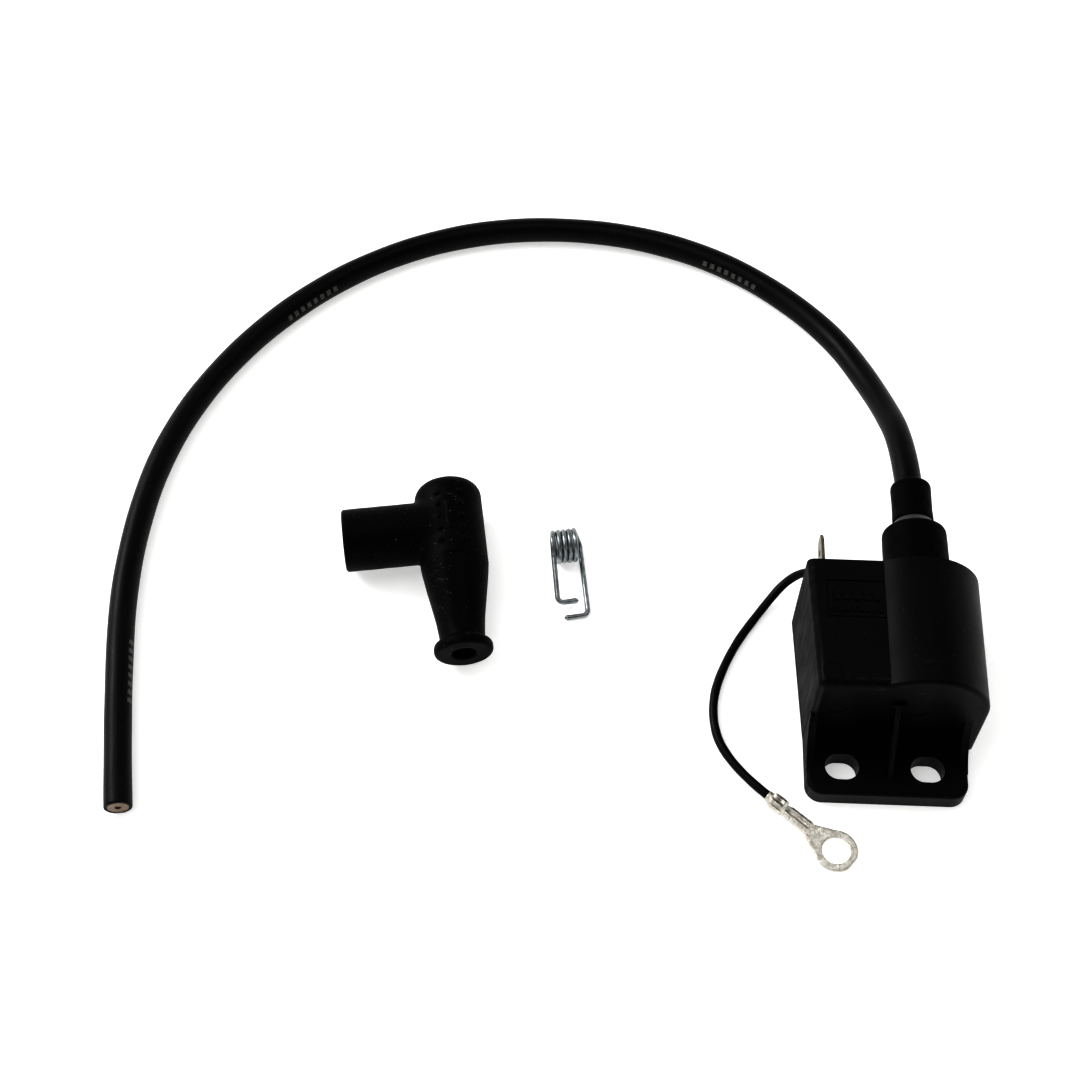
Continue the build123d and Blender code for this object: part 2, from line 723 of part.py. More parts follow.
def in_plug_boot(shape):
    """Carry a shape built about the boot's elbow, arm along +Y, to where the boot lies."""
    droop = math.asin((PLUG_RADIUS - PLUG_RIM_RADIUS) / (PLUG_RIM_Y - PLUG_SHOULDER_Y))
    height = PLUG_RADIUS + PLUG_SHOULDER_Y * math.sin(droop) + PLUG_CLEARANCE
    lying = Rot(0, 0, 180 + PLUG_TURN) * Rot(-math.degrees(droop), 0, 0)
    return Pos(PLUG_X, PLUG_Y, height) * lying * shape


def make_plug_boot():
    """Right-angle rubber boot: a tapered arm for the lead and a round socket for the plug."""
    head = PLUG_HEAD_REACH
    crown = PLUG_CROWN
    end = PLUG_ARM_LENGTH
    outline = make_face(
        [
            Line((0, -head), (PLUG_RADIUS - crown, -head)),
            CenterArc((PLUG_RADIUS - crown, crown - head), crown, -90, 90),
            Line((PLUG_RADIUS, crown - head), (PLUG_RADIUS, PLUG_SHOULDER_Y)),
            Spline(
                (PLUG_RADIUS, PLUG_SHOULDER_Y),
                *PLUG_TAPER,
                (PLUG_ARM_TIP_RADIUS, 31.4),
                tangents=((0, 1), (0, 1)),
            ),
            Line((PLUG_ARM_TIP_RADIUS, 31.4), (PLUG_RIM_RADIUS - 0.5, 32.8)),
            ThreePointArc(
                (PLUG_RIM_RADIUS - 0.5, 32.8),
                (PLUG_RIM_RADIUS, PLUG_RIM_Y),
                (PLUG_RIM_RADIUS - 0.8, end),
            ),
            Line((PLUG_RIM_RADIUS - 0.8, end), (0, end)),
            Line((0, end), (0, -head)),
        ]
    )
    arm = revolve(outline, Axis.Y, 360)
    socket = Cylinder(PLUG_SOCKET_RADIUS, PLUG_SOCKET_LENGTH, rotation=(0, 90, 0))
    socket = fillet(socket.edges().sort_by(Axis.X)[-1], 0.8)
    body = arm + Pos(PLUG_SOCKET_LENGTH / 2, 0, 0) * socket
    bar = block((1.1, 2.3), (-5.0, 2.4), (PLUG_RADIUS - 0.9, PLUG_RADIUS + 0.1))
    body += bar
    for row in range(PLUG_GRIP_ROWS):
        for x in (-PLUG_GRIP_OFFSET, PLUG_GRIP_OFFSET):
            y = PLUG_GRIP_START + PLUG_GRIP_PITCH * row
            height = math.sqrt(PLUG_RADIUS**2 - x**2)
            body += Pos(x, y, height - 0.15) * Sphere(PLUG_GRIP_RADIUS)
    lead_bore = Cylinder(PLUG_LEAD_BORE, end + 1, rotation=(90, 0, 0))
    body -= Pos(0, (end + 1) / 2, 0) * lead_bore
    plug_bore = Cylinder(PLUG_SOCKET_BORE, PLUG_SOCKET_LENGTH + 1, rotation=(0, 90, 0))
    body -= Pos((PLUG_SOCKET_LENGTH + 1) / 2, 0, 0) * plug_bore
    body -= Sphere(PLUG_SOCKET_BORE)
    return in_plug_boot(body)


def make_spring():
    """Close-wound wire coil with two legs, each ending in a pointed inward hook.

    The coil's axis is X. The left leg leaves near the top and slopes down to the front, and
    the right leg leaves at the bottom and runs level to the front.
    """
    radius = SPRING_WIRE / 2
    slope = math.radians(SPRING_LEG_SLOPE)
    turns = SPRING_FULL_TURNS + (180 + SPRING_LEG_SLOPE) / 360
    length = SPRING_PITCH * turns
    helix = Helix(SPRING_PITCH, length, SPRING_MEAN_RADIUS, lefthand=True)
    section = Plane(origin=helix @ 0, z_dir=helix % 0) * Circle(radius)
    coil = sweep(section, path=helix, is_frenet=True)
    start_direction = (0, -math.sin(slope), math.cos(slope))
    left = -length / 2
    right = length / 2
    coil = Plane(origin=(left, 0, 0), x_dir=start_direction, z_dir=(1, 0, 0)) * coil

    start_y = -SPRING_MEAN_RADIUS * math.sin(slope)
    start_z = SPRING_MEAN_RADIUS * math.cos(slope)
    end_z = start_z - (SPRING_LEFT_LEG + start_y) * math.tan(slope)
    bottom = -SPRING_MEAN_RADIUS
    spring = coil
    for corners in (
        [
            (left, start_y, start_z),
            (left, -SPRING_LEFT_LEG, end_z),
            (left + SPRING_LEFT_HOOK, -SPRING_LEFT_LEG, end_z),
        ],
        [
            (right, 0, bottom),
            (right, -SPRING_RIGHT_LEG, bottom),
            (right - SPRING_RIGHT_HOOK, -SPRING_RIGHT_LEG, bottom),
        ],
    ):
        line = FilletPolyline(*corners, radius=SPRING_BEND)
        tip = Plane(origin=line @ 1, z_dir=line % 1) * Pos(0, 0, 0.5) * Cone(radius, 0.15, 1.0)
        spring += sweep_round(line, SPRING_WIRE)
        spring += tip
    height = SPRING_MEAN_RADIUS + radius
    return Pos(SPRING_X, SPRING_Y, height) * Rot(0, 0, SPRING_TURN) * spring


# ---- Writing the nodes --------------------------------------------------------------------


def write_leads():
    """Write the high-tension lead, the ground lead and the ring terminal."""
    lead_line = route_line(LEAD_ROUTE, "high-tension lead")
    lead_layers = (
        ("ht_lead_jacket", LEAD_DIAMETER, LEAD_INSULATION_DIAMETER),
        ("ht_lead_insulation", LEAD_INSULATION_DIAMETER, LEAD_CONDUCTOR_DIAMETER),
        ("ht_lead_conductor", LEAD_CONDUCTOR_DIAMETER, 0.0),
    )
    for name, diameter, bore in lead_layers:
        layer = sweep_round(lead_line, diameter, bore)
        report_sweep(name, layer, lead_line, diameter, bore)
        if name == "ht_lead_conductor":
            layer -= make_spike()
        save(layer, name)

    ground_line = route_line(GROUND_ROUTE, "ground lead")
    insulation = sweep_round(ground_line, GROUND_DIAMETER, GROUND_STRANDS_DIAMETER)
    strands = sweep_round(ground_line, GROUND_STRANDS_DIAMETER)
    report_sweep("ground insulation", insulation, ground_line, GROUND_DIAMETER, GROUND_STRANDS_DIAMETER)
    report_sweep("ground strands", strands, ground_line, GROUND_STRANDS_DIAMETER)
    save(insulation, "ground_lead_insulation")
    save(strands, "ground_lead_strands")
    save(make_ring_terminal(), "ring_terminal")
    return [insulation, strands]


def main():
    """Build every node and write it."""
    os.makedirs("parts", exist_ok=True)
    ground_pieces = write_leads()
    buried = {
        "ht_tower": make_tower(),
        "ht_contact_spike": make_spike(),
        "winding_end_cap": make_end_cap(),
        "circuit_board": make_board(),
        "storage_capacitor": make_capacitor(),
        "thyristor": make_thyristor(),
        "rectifier_diodes": make_diodes(),
        "gate_resistors": make_resistors(),
        "jumper_wires": make_jumpers(),
        "spade_terminal": make_spade(),
    }
    windings = {
        "core_sheets": make_core(),
        "primary_bobbin": make_primary_bobbin(),
        "primary_winding": make_primary_winding(),
        "secondary_bobbin": make_secondary_bobbin(),
        "secondary_winding": make_secondary_winding(),
    }
    loose = {
        "housing": make_housing(),
        "tower_boot": make_tower_boot(),
        "lead_sleeve": make_lead_sleeve(),
        "plug_boot": make_plug_boot(),
        "plug_spring_terminal": make_spring(),
    }
    resin = housing_form(WALL, FRONT_WALL_Y + WALL, RESIN_Y)
    resin -= rod_y(BARREL_X, BARREL_Z, SECONDARY_FLANGE_RADIUS, PACK_FRONT_Y, PACK_REAR_Y)
    for piece in list(buried.values()) + ground_pieces:
        resin -= piece
    save(resin, "potting_resin")
    for group in (buried, windings, loose):
        for name, shape in group.items():
            save(shape, name)


main()
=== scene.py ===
"""Small-engine ignition coil: the looks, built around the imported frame.

The frame gives every body, node and place. Each sub-assembly below is a class that makes the
pieces which stand for its soft or detailed parts, and dresses the parts whose shape is right.
Sizes are in millimetres until a mesh is made, and every object is in metres.
"""

import logging
import math
from dataclasses import dataclass, field
from enum import Enum

import bpy
import numpy as np
import openvdb
from mathutils import Matrix, Vector


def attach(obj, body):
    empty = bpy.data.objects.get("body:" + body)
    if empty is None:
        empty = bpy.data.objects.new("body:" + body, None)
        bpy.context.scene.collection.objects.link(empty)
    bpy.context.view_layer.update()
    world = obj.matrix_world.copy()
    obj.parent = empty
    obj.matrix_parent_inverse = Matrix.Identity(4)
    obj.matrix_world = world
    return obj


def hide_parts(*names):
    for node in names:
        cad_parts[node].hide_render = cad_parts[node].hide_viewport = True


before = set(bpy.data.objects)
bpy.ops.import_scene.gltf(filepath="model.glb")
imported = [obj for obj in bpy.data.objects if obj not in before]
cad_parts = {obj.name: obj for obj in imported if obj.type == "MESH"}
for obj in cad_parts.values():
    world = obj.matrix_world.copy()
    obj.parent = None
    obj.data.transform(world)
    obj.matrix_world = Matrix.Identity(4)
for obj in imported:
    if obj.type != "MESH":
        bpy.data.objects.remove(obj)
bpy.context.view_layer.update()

MM = 0.001
STRANDS = 7
LOG = logging.getLogger("ignition_coil")


# ---- Surfaces -----------------------------------------------------------------------------


class Ends(Enum):
    """How a skin over a row of rings is closed."""

    LOOP = "the last ring joins the first"
    POLES = "each end closes at a point"


@dataclass
class Skin:
    """A closed surface: points in mm, with the corners, sizes and UVs of its polygons."""

    points: np.ndarray
    corners: np.ndarray
    sizes: np.ndarray
    uv: np.ndarray

    def outward(self) -> "Skin":
        """Turn the polygons round if they enclose a negative volume."""
        starts = np.cumsum(self.sizes) - self.sizes
        first = self.points[self.corners[starts]]
        second = self.points[self.corners[starts + 1]]
        third = self.points[self.corners[starts + 2]]
        last = self.points[self.corners[starts + self.sizes - 1]]
        volume = np.einsum("ij,ij->", first, np.cross(second, third))
        volume += np.einsum("ij,ij->", first, np.cross(third, last))
        if volume < 0:
            owner = np.repeat(np.arange(len(self.sizes)), self.sizes)
            place = np.arange(len(self.corners)) - starts[owner]
            turned = starts[owner] + self.sizes[owner] - 1 - place
            self.corners = self.corners[turned]
            self.uv = self.uv[turned]
        return self


def weave(rings: np.ndarray, ends: Ends, along: np.ndarray | None = None) -> Skin:
    """Weave quads over a grid of points, ring after ring.

    Point (i, j) is joined to (i, j+1), (i+1, j+1) and (i+1, j), and j runs round. With POLES,
    a fan of triangles closes each end at the mean of its ring.

    Args:
        rings: Points in mm, shaped (rings, points in a ring, 3).
        ends: How the surface closes.
        along: V coordinate of each ring, in metres; even steps where it is left out.

    Returns:
        The skin, with its faces outwards.
    """
    rows, cols = rings.shape[:2]
    spans = rows if ends is Ends.LOOP else rows - 1
    if along is None:
        along = np.linspace(0, 1, rows)
    along = np.append(along, along[0])
    i, j = (g.reshape(-1, 1) for g in np.meshgrid(np.arange(spans), np.arange(cols), indexing="ij"))
    quad_i = np.hstack([i, i, i + 1, i + 1])
    quad_j = np.hstack([j, j + 1, j + 1, j])
    points = rings.reshape(-1, 3)
    corners = ((quad_i % rows) * cols + quad_j % cols).ravel()
    uv = np.stack([quad_j.ravel() / cols, along[quad_i.ravel()]], axis=1)
    sizes = np.full(len(quad_i), 4)
    if ends is Ends.POLES:
        turn = np.arange(cols)
        after = (turn + 1) % cols
        base = (rows - 1) * cols
        near = np.stack([np.full(cols, len(points)), after, turn], axis=1)
        far = np.stack([np.full(cols, len(points) + 1), base + turn, base + after], axis=1)
        points = np.vstack([points, rings[0].mean(0), rings[-1].mean(0)])
        corners = np.concatenate([corners, near.ravel(), far.ravel()])
        sizes = np.concatenate([sizes, np.full(2 * cols, 3)])
        cap_u = np.tile(np.stack([turn + 0.5, turn + 1.0, turn], axis=1).ravel() / cols, 2)
        cap_v = np.repeat([along[0], along[rows - 1]], 3 * cols)
        uv = np.vstack([uv, np.stack([cap_u, cap_v], axis=1)])
    return Skin(points, corners, sizes, uv).outward()


def turned(profile: np.ndarray, sides: int) -> np.ndarray:
    """Carry a profile round the local Z axis: (r, h) becomes (r cos t, r sin t, h).

    Args:
        profile: Radius and height of each point, in mm.
        sides: Points in a ring.

    Returns:
        Rings shaped (profile points, sides, 3).
    """
    t = np.linspace(0, 2 * np.pi, sides, endpoint=False)
    radius = profile[:, :1]
    height = np.broadcast_to(profile[:, 1:2], (len(profile), sides))
    return np.stack([radius * np.cos(t), radius * np.sin(t), height], axis=-1)


def rounded(outline: list[tuple[float, float, float]], steps: int = 6) -> np.ndarray:
    """Closed outline whose corners are quadratic curves.

    Each corner P becomes (1-t)^2 A + 2t(1-t) P + t^2 B, where A and B lie on its two sides at
    the given setback.

    Args:
        outline: Corners as (a, b, setback), in mm.
        steps: Points on each corner.

    Returns:
        Points of the outline, shaped (n, 2).
    """
    corner = np.array(outline, float)
    here, setback = corner[:, :2], corner[:, 2:]
    back = np.roll(here, 1, axis=0) - here
    ahead = np.roll(here, -1, axis=0) - here
    a = here + back / np.linalg.norm(back, axis=1, keepdims=True) * setback
    b = here + ahead / np.linalg.norm(ahead, axis=1, keepdims=True) * setback
    t = np.linspace(0, 1, steps)[:, None, None]
    curve = (1 - t) ** 2 * a + 2 * t * (1 - t) * here + t**2 * b
    return curve.transpose(1, 0, 2).reshape(-1, 2)


def filled(outline: np.ndarray, step: float) -> np.ndarray:
    """Even points round a closed outline.

    Args:
        outline: Points in order, shaped (n, 2), in mm.
        step: Rough distance between the new points, in mm.

    Returns:
        The outline again, with points about a step apart.
    """
    ring = np.vstack([outline, outline[:1]])
    along = np.concatenate([[0], np.cumsum(np.linalg.norm(np.diff(ring, axis=0), axis=1))])
    at = np.linspace(0, along[-1], int(along[-1] / step), endpoint=False)
    at = np.unique(np.round(np.concatenate([at, along[:-1]]), 4))
    return np.stack([np.interp(at, along, ring[:, axis]) for axis in range(2)], axis=1)


def unit(vectors: np.ndarray) -> np.ndarray:
    """Vectors at length one."""
    return vectors / np.linalg.norm(vectors, axis=-1, keepdims=True)


def moved(points: np.ndarray, matrix: Matrix) -> np.ndarray:
    """Points in mm carried by a 4x4 matrix."""
    m = np.array(matrix, float)
    return points @ m[:3, :3].T + m[:3, 3]


def ripple(points: np.ndarray, size: float, seed: float) -> np.ndarray:
    """Gentle unevenness from -1 to 1: a product of sines whose waves are about size mm long."""
    k = 2 * np.pi / size
    x, y, z = np.moveaxis(points, -1, 0)
    first = np.sin(k * x + seed) * np.sin(0.83 * k * y + 2.1 * seed) * np.cos(1.07 * k * z - seed)
    second = np.sin(1.9 * k * y - seed) * np.sin(1.7 * k * x + 1.3 * k * z + 3.7 * seed)
    return 0.7 * first + 0.3 * second


def make_piece(
    name: str,
    skins: list[Skin],
    material: bpy.types.Material,
    body: str,
    stands_for: tuple[str, ...] = (),
) -> bpy.types.Object:
    """Put skins into one mesh object that rides on a body.

    Args:
        name: The piece's name.
        skins: Its surfaces, in mm.
        material: Its material.
        body: The CAD body that it moves with.
        stands_for: CAD nodes that it replaces.

    Returns:
        The object, at the origin, with its place in its mesh.
    """
    offsets = np.cumsum([0] + [len(s.points) for s in skins[:-1]])
    corners = np.concatenate([s.corners + o for s, o in zip(skins, offsets)]).astype(np.int32)
    sizes = np.concatenate([s.sizes for s in skins]).astype(np.int32)
    points = np.vstack([s.points for s in skins]) * MM
    mesh = bpy.data.meshes.new(name)
    mesh.vertices.add(len(points))
    mesh.vertices.foreach_set("co", points.astype(np.float32).ravel())
    mesh.loops.add(len(corners))
    mesh.loops.foreach_set("vertex_index", corners)
    mesh.polygons.add(len(sizes))
    mesh.polygons.foreach_set("loop_start", (np.cumsum(sizes) - sizes).astype(np.int32))
    mesh.polygons.foreach_set("use_smooth", np.ones(len(sizes), bool))
    uv = np.vstack([s.uv for s in skins]).astype(np.float32)
    mesh.uv_layers.new(name="UVMap").data.foreach_set("uv", uv.ravel())
    mesh.update(calc_edges=True)
    mesh.validate()
    mesh.materials.append(material)
    piece = bpy.data.objects.new(name, mesh)
    bpy.context.scene.collection.objects.link(piece)
    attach(piece, body)
    if stands_for:
        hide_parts(*stands_for)
    LOG.info("%s: %d faces on %s", name, len(sizes), body)
    return piece


@dataclass
class Line:
    """A smooth line in space, read at any distance along it.

    Attributes:
        points: Points down the line, in mm.
        normals: One sideways direction for each point; level ones where they are left out.
    """

    points: np.ndarray
    normals: np.ndarray | None = None

    def __post_init__(self) -> None:
        """Work out the distance along the line, its tangents and its normals."""
        steps = np.linalg.norm(np.diff(self.points, axis=0), axis=1)
        self.along = np.concatenate([[0], np.cumsum(steps)])
        self.length = float(self.along[-1])
        self.tangents = unit(np.gradient(self.points, self.along, axis=0))
        if self.normals is None:
            self.normals = unit(np.cross(self.tangents, [0.0, 0.0, 1.0]))

    def read(self, values: np.ndarray, at: np.ndarray) -> np.ndarray:
        """Values at distances along the line, with straight steps between points."""
        return np.stack([np.interp(at, self.along, values[:, axis]) for axis in range(3)], axis=-1)

    def rings(self, at: np.ndarray, radius: np.ndarray, sides: int) -> np.ndarray:
        """Rings round the line: centre + r (cos t side + sin t up).

        Args:
            at: Distance of each ring along the line, in mm.
            radius: Radius of each ring, or of each point of each ring, in mm.
            sides: Points in a ring.

        Returns:
            Rings shaped (len(at), sides, 3).
        """
        t = np.linspace(0, 2 * np.pi, sides, endpoint=False)
        centre = self.read(self.points, at)[:, None]
        tangent = unit(self.read(self.tangents, at))
        side = unit(self.read(self.normals, at))
        up = unit(np.cross(side, tangent))[:, None]
        wide = np.broadcast_to(np.reshape(radius, (len(at), -1)), (len(at), sides))[..., None]
        return centre + wide * (np.cos(t)[:, None] * side[:, None] + np.sin(t)[:, None] * up)

    def offset(self, distance: float, turns_per_mm: float, start: float) -> "Line":
        """The line of one strand that winds round this one: a helix at a distance from it."""
        angle = (start + turns_per_mm * self.along * 2 * np.pi)[:, None]
        up = np.cross(self.normals, self.tangents)
        shift = distance * (np.cos(angle) * self.normals + np.sin(angle) * up)
        return Line(self.points + shift, self.normals)


def tube_profile(end: float, step: float, outer: float, inner: float, lip: list) -> np.ndarray:
    """Profile of a tube: out along its outer wall, round its cut lip, back along its bore.

    Args:
        end: Length of the tube, in mm.
        step: Distance between the points of its outer wall; the bore has half as many.
        outer: Outer radius, in mm.
        inner: Radius of its bore, in mm.
        lip: Points of the cut end, as (distance before the end, radius).

    Returns:
        Distance along the tube and radius of each point.
    """
    wall = np.arange(0, end - lip[0][0] - step / 2, step)
    bore = wall[::-2]
    cut = np.array(lip) * [-1, 1] + [end, 0]
    return np.vstack(
        [
            np.stack([wall, np.full(len(wall), outer)], axis=1),
            cut,
            np.stack([bore, np.full(len(bore), inner)], axis=1),
        ]
    )


def smooth_line(name: str, route: list[tuple[float, float, float]]) -> Line:
    """The NURBS curve of order 3 whose control points are a cord's route.

    Args:
        name: Name for the curve while it is read.
        route: Control points, in mm.

    Returns:
        The line that the curve follows, in mm.
    """
    curve = bpy.data.curves.new(name, "CURVE")
    curve.dimensions = "3D"
    spline = curve.splines.new("NURBS")
    spline.points.add(len(route) - 1)
    control = np.hstack([np.array(route, float) * MM, np.ones((len(route), 1))])
    spline.points.foreach_set("co", control.astype(np.float32).ravel())
    spline.order_u = 3
    spline.use_endpoint_u = True
    spline.resolution_u = 28
    holder = bpy.data.objects.new(name, curve)
    mesh = bpy.data.meshes.new_from_object(holder)
    points = np.zeros(len(mesh.vertices) * 3, np.float32)
    mesh.vertices.foreach_get("co", points)
    bpy.data.meshes.remove(mesh)
    bpy.data.objects.remove(holder)
    bpy.data.curves.remove(curve)
    return Line(points.reshape(-1, 3).astype(float) / MM)


# ---- Finishes -----------------------------------------------------------------------------


def srgb(code: str) -> tuple[float, float, float, float]:
    """Linear colour of an sRGB hex value.

    Args:
        code: Six hex digits.

    Returns:
        Red, green, blue and alpha.
    """
    channels = [int(code[start : start + 2], 16) / 255 for start in (0, 2, 4)]
    linear = [c / 12.92 if c <= 0.04045 else ((c + 0.055) / 1.055) ** 2.4 for c in channels]
    return (linear[0], linear[1], linear[2], 1.0)


def per_mm(size: float) -> float:
    """Pattern scale, in object coordinates, whose features are about size mm across."""
    return 1 / (size * MM)


def add(
    tree: bpy.types.NodeTree,
    kind: str,
    settings: dict | None = None,
    links: dict | None = None,
) -> bpy.types.Node:
    """Add a shader node with its settings and links.

    Args:
        tree: The material's node tree.
        kind: Node type, after "ShaderNode".
        settings: Values by property name in lower case, or by input name or number.
        links: Sockets that feed its inputs, by input name or number.

    Returns:
        The node.
    """
    node = tree.nodes.new("ShaderNode" + kind)
    for key, value in (settings or {}).items():
        if isinstance(key, str) and key[0].islower():
            setattr(node, key, value)
        else:
            node.inputs[key].default_value = value
    for key, socket in (links or {}).items():
        tree.links.new(socket, node.inputs[key])
    return node


@dataclass
class Look:
    """The sockets that a finish builds up: colour, roughness and height in mm."""

    colour: bpy.types.NodeSocket
    rough: bpy.types.NodeSocket
    height: bpy.types.NodeSocket


@dataclass(frozen=True)
class Finish:
    """A real material and the marks of how its surface was made.

    Attributes:
        name: Common name of the material.
        colour: Its colour, sRGB hex.
        shade: The colour that it drifts to in patches, sRGB hex.
        roughness: Middle roughness.
        spread: How far roughness wanders.
        metallic: 1 for bare metal.
        ior: Index of refraction; a metal keeps the default.
        level: Specular level.
        coat: Weight of a clear skin, such as oil or varnish.
        coat_roughness: Roughness of that skin.
        blotch: Size of the patches, in mm.
        grain: Size of the surface grain, in mm.
        depth: Depth of the grain, in mm.
        dust: How much lint and dust lies on it.
        dust_colour: Colour of the dust, sRGB hex.
        scuffs: How strongly fine scratches show.
        glow: Light that comes through it from behind.
    """

    name: str
    colour: str
    shade: str
    roughness: float
    spread: float = 0.06
    metallic: float = 0.0
    ior: float = 1.5
    level: float = 0.5
    coat: float = 0.0
    coat_roughness: float = 0.2
    blotch: float = 7.0
    grain: float = 0.35
    depth: float = 0.01
    dust: float = 0.0
    dust_colour: str = "8f8c86"
    scuffs: float = 0.0
    glow: float = 0.0

    def pattern(self, tree: bpy.types.NodeTree, spot: bpy.types.NodeSocket, look: Look) -> Look:
        """Marks that only this material has; none on a plain one."""
        return look

    def wear(self, tree: bpy.types.NodeTree, spot: bpy.types.NodeSocket, look: Look) -> Look:
        """Fine scratches and settled dust.

        A scratch is where a stretched noise crosses its middle value, inside sparse patches.
        A speck of dust is a peak of a fine noise.

        Args:
            tree: The material's node tree.
            spot: Object coordinates.
            look: The sockets so far.

        Returns:
            The sockets with wear.
        """
        pale = srgb(self.dust_colour)
        if self.scuffs:
            slant = add(
                tree,
                "Mapping",
                {"Rotation": (0.4, 0.3, 0.9), "Scale": (1.0, 14.0, 3.0)},
                {"Vector": spot},
            ).outputs[0]
            streak = add(tree, "TexNoise", {"Scale": per_mm(22), "Detail": 2.0}, {"Vector": slant})
            thin = add(
                tree, "Math", {"operation": "COMPARE", 1: 0.5, 2: 0.006}, {0: streak.outputs[0]}
            )
            patch = add(tree, "TexNoise", {"Scale": per_mm(9), "Detail": 1.0}, {"Vector": spot})
            where = add(
                tree,
                "MapRange",
                {"From Min": 0.56, "From Max": 0.7, "To Max": self.scuffs},
                {"Value": patch.outputs[0]},
            )
            mask = add(
                tree, "Math", {"operation": "MULTIPLY"}, {0: thin.outputs[0], 1: where.outputs[0]}
            ).outputs[0]
            look.colour = add(
                tree, "Mix", {"data_type": "RGBA", 7: pale}, {0: mask, 6: look.colour}
            ).outputs[2]
            look.height = add(
                tree, "Math", {"operation": "MULTIPLY_ADD", 1: -0.02}, {0: mask, 2: look.height}
            ).outputs[0]
        if self.dust:
            fine = add(tree, "TexNoise", {"Scale": per_mm(0.7), "Detail": 1.5}, {"Vector": spot})
            specks = add(
                tree,
                "MapRange",
                {"From Min": 0.7, "From Max": 0.76, "To Max": self.dust},
                {"Value": fine.outputs[0]},
            ).outputs[0]
            look.colour = add(
                tree, "Mix", {"data_type": "RGBA", 7: pale}, {0: specks, 6: look.colour}
            ).outputs[2]
            look.rough = add(
                tree, "Math", {"operation": "MAXIMUM"}, {0: look.rough, 1: specks}
            ).outputs[0]
        return look

    def build(self) -> bpy.types.Material:
        """Make the material: patches of colour, grain, its own pattern, then wear.

        Returns:
            The material.
        """
        material = bpy.data.materials.new(self.name)
        material.use_nodes = True
        tree = material.node_tree
        tree.nodes.clear()
        spot = add(tree, "TexCoord").outputs["Object"]
        patches = add(
            tree,
            "TexNoise",
            {"Scale": per_mm(self.blotch), "Detail": 5.0, "Roughness": 0.6},
            {"Vector": spot},
        ).outputs[0]
        tone = add(tree, "MapRange", {"From Min": 0.35, "From Max": 0.65}, {"Value": patches})
        colour = add(
            tree,
            "Mix",
            {"data_type": "RGBA", 6: srgb(self.colour), 7: srgb(self.shade)},
            {0: tone.outputs[0]},
        ).outputs[2]
        grain = add(
            tree,
            "TexNoise",
            {"Scale": per_mm(self.grain), "Detail": 3.0, "Roughness": 0.55},
            {"Vector": spot},
        ).outputs[0]
        height = add(tree, "Math", {"operation": "MULTIPLY", 1: self.depth}, {0: grain}).outputs[0]
        mixed = add(tree, "Math", {"operation": "ADD"}, {0: patches, 1: grain}).outputs[0]
        rough = add(
            tree,
            "MapRange",
            {
                "From Min": 0.7,
                "From Max": 1.3,
                "To Min": self.roughness - self.spread,
                "To Max": self.roughness + self.spread,
            },
            {"Value": mixed},
        ).outputs[0]
        look = self.pattern(tree, spot, Look(colour, rough, height))
        look = self.wear(tree, spot, look)
        bump = add(tree, "Bump", {"Strength": 1.0, "Distance": MM}, {"Height": look.height})
        shader = add(
            tree,
            "BsdfPrincipled",
            {
                "Metallic": self.metallic,
                "IOR": self.ior,
                "Specular IOR Level": self.level,
                "Coat Weight": self.coat,
                "Coat Roughness": self.coat_roughness,
                "Emission Color": srgb(self.colour),
                "Emission Strength": self.glow,
            },
            {"Base Color": look.colour, "Roughness": look.rough, "Normal": bump.outputs[0]},
        )
        add(tree, "OutputMaterial", {}, {"Surface": shader.outputs[0]})
        return material


@dataclass(frozen=True)
class MouldedHousing(Finish):
    """Filled polyester with flow streaks on its leaning side, where it left the mould.

    Attributes:
        streak_x: X below which the wall shows its streaks, in mm.
    """

    streak_x: float = -18.6

    def pattern(self, tree: bpy.types.NodeTree, spot: bpy.types.NodeSocket, look: Look) -> Look:
        """Slanting flow streaks, a stretched noise shown left of streak_x."""
        slant = add(
            tree,
            "Mapping",
            {"Rotation": (0.9, 0.0, 0.0), "Scale": (1.0, 1.0, 0.12)},
            {"Vector": spot},
        ).outputs[0]
        flow = add(tree, "TexNoise", {"Scale": per_mm(1.6), "Detail": 4.0}, {"Vector": slant})
        x = add(tree, "SeparateXYZ", {}, {"Vector": spot}).outputs[0]
        side = add(
            tree, "Math", {"operation": "LESS_THAN", 1: self.streak_x * MM}, {0: x}
        ).outputs[0]
        shown = add(
            tree, "Math", {"operation": "MULTIPLY"}, {0: flow.outputs[0], 1: side}
        ).outputs[0]
        look.rough = add(
            tree, "Math", {"operation": "MULTIPLY_ADD", 1: 0.4}, {0: shown, 2: look.rough}
        ).outputs[0]
        look.height = add(
            tree, "Math", {"operation": "MULTIPLY_ADD", 1: 0.06}, {0: shown, 2: look.height}
        ).outputs[0]
        return look


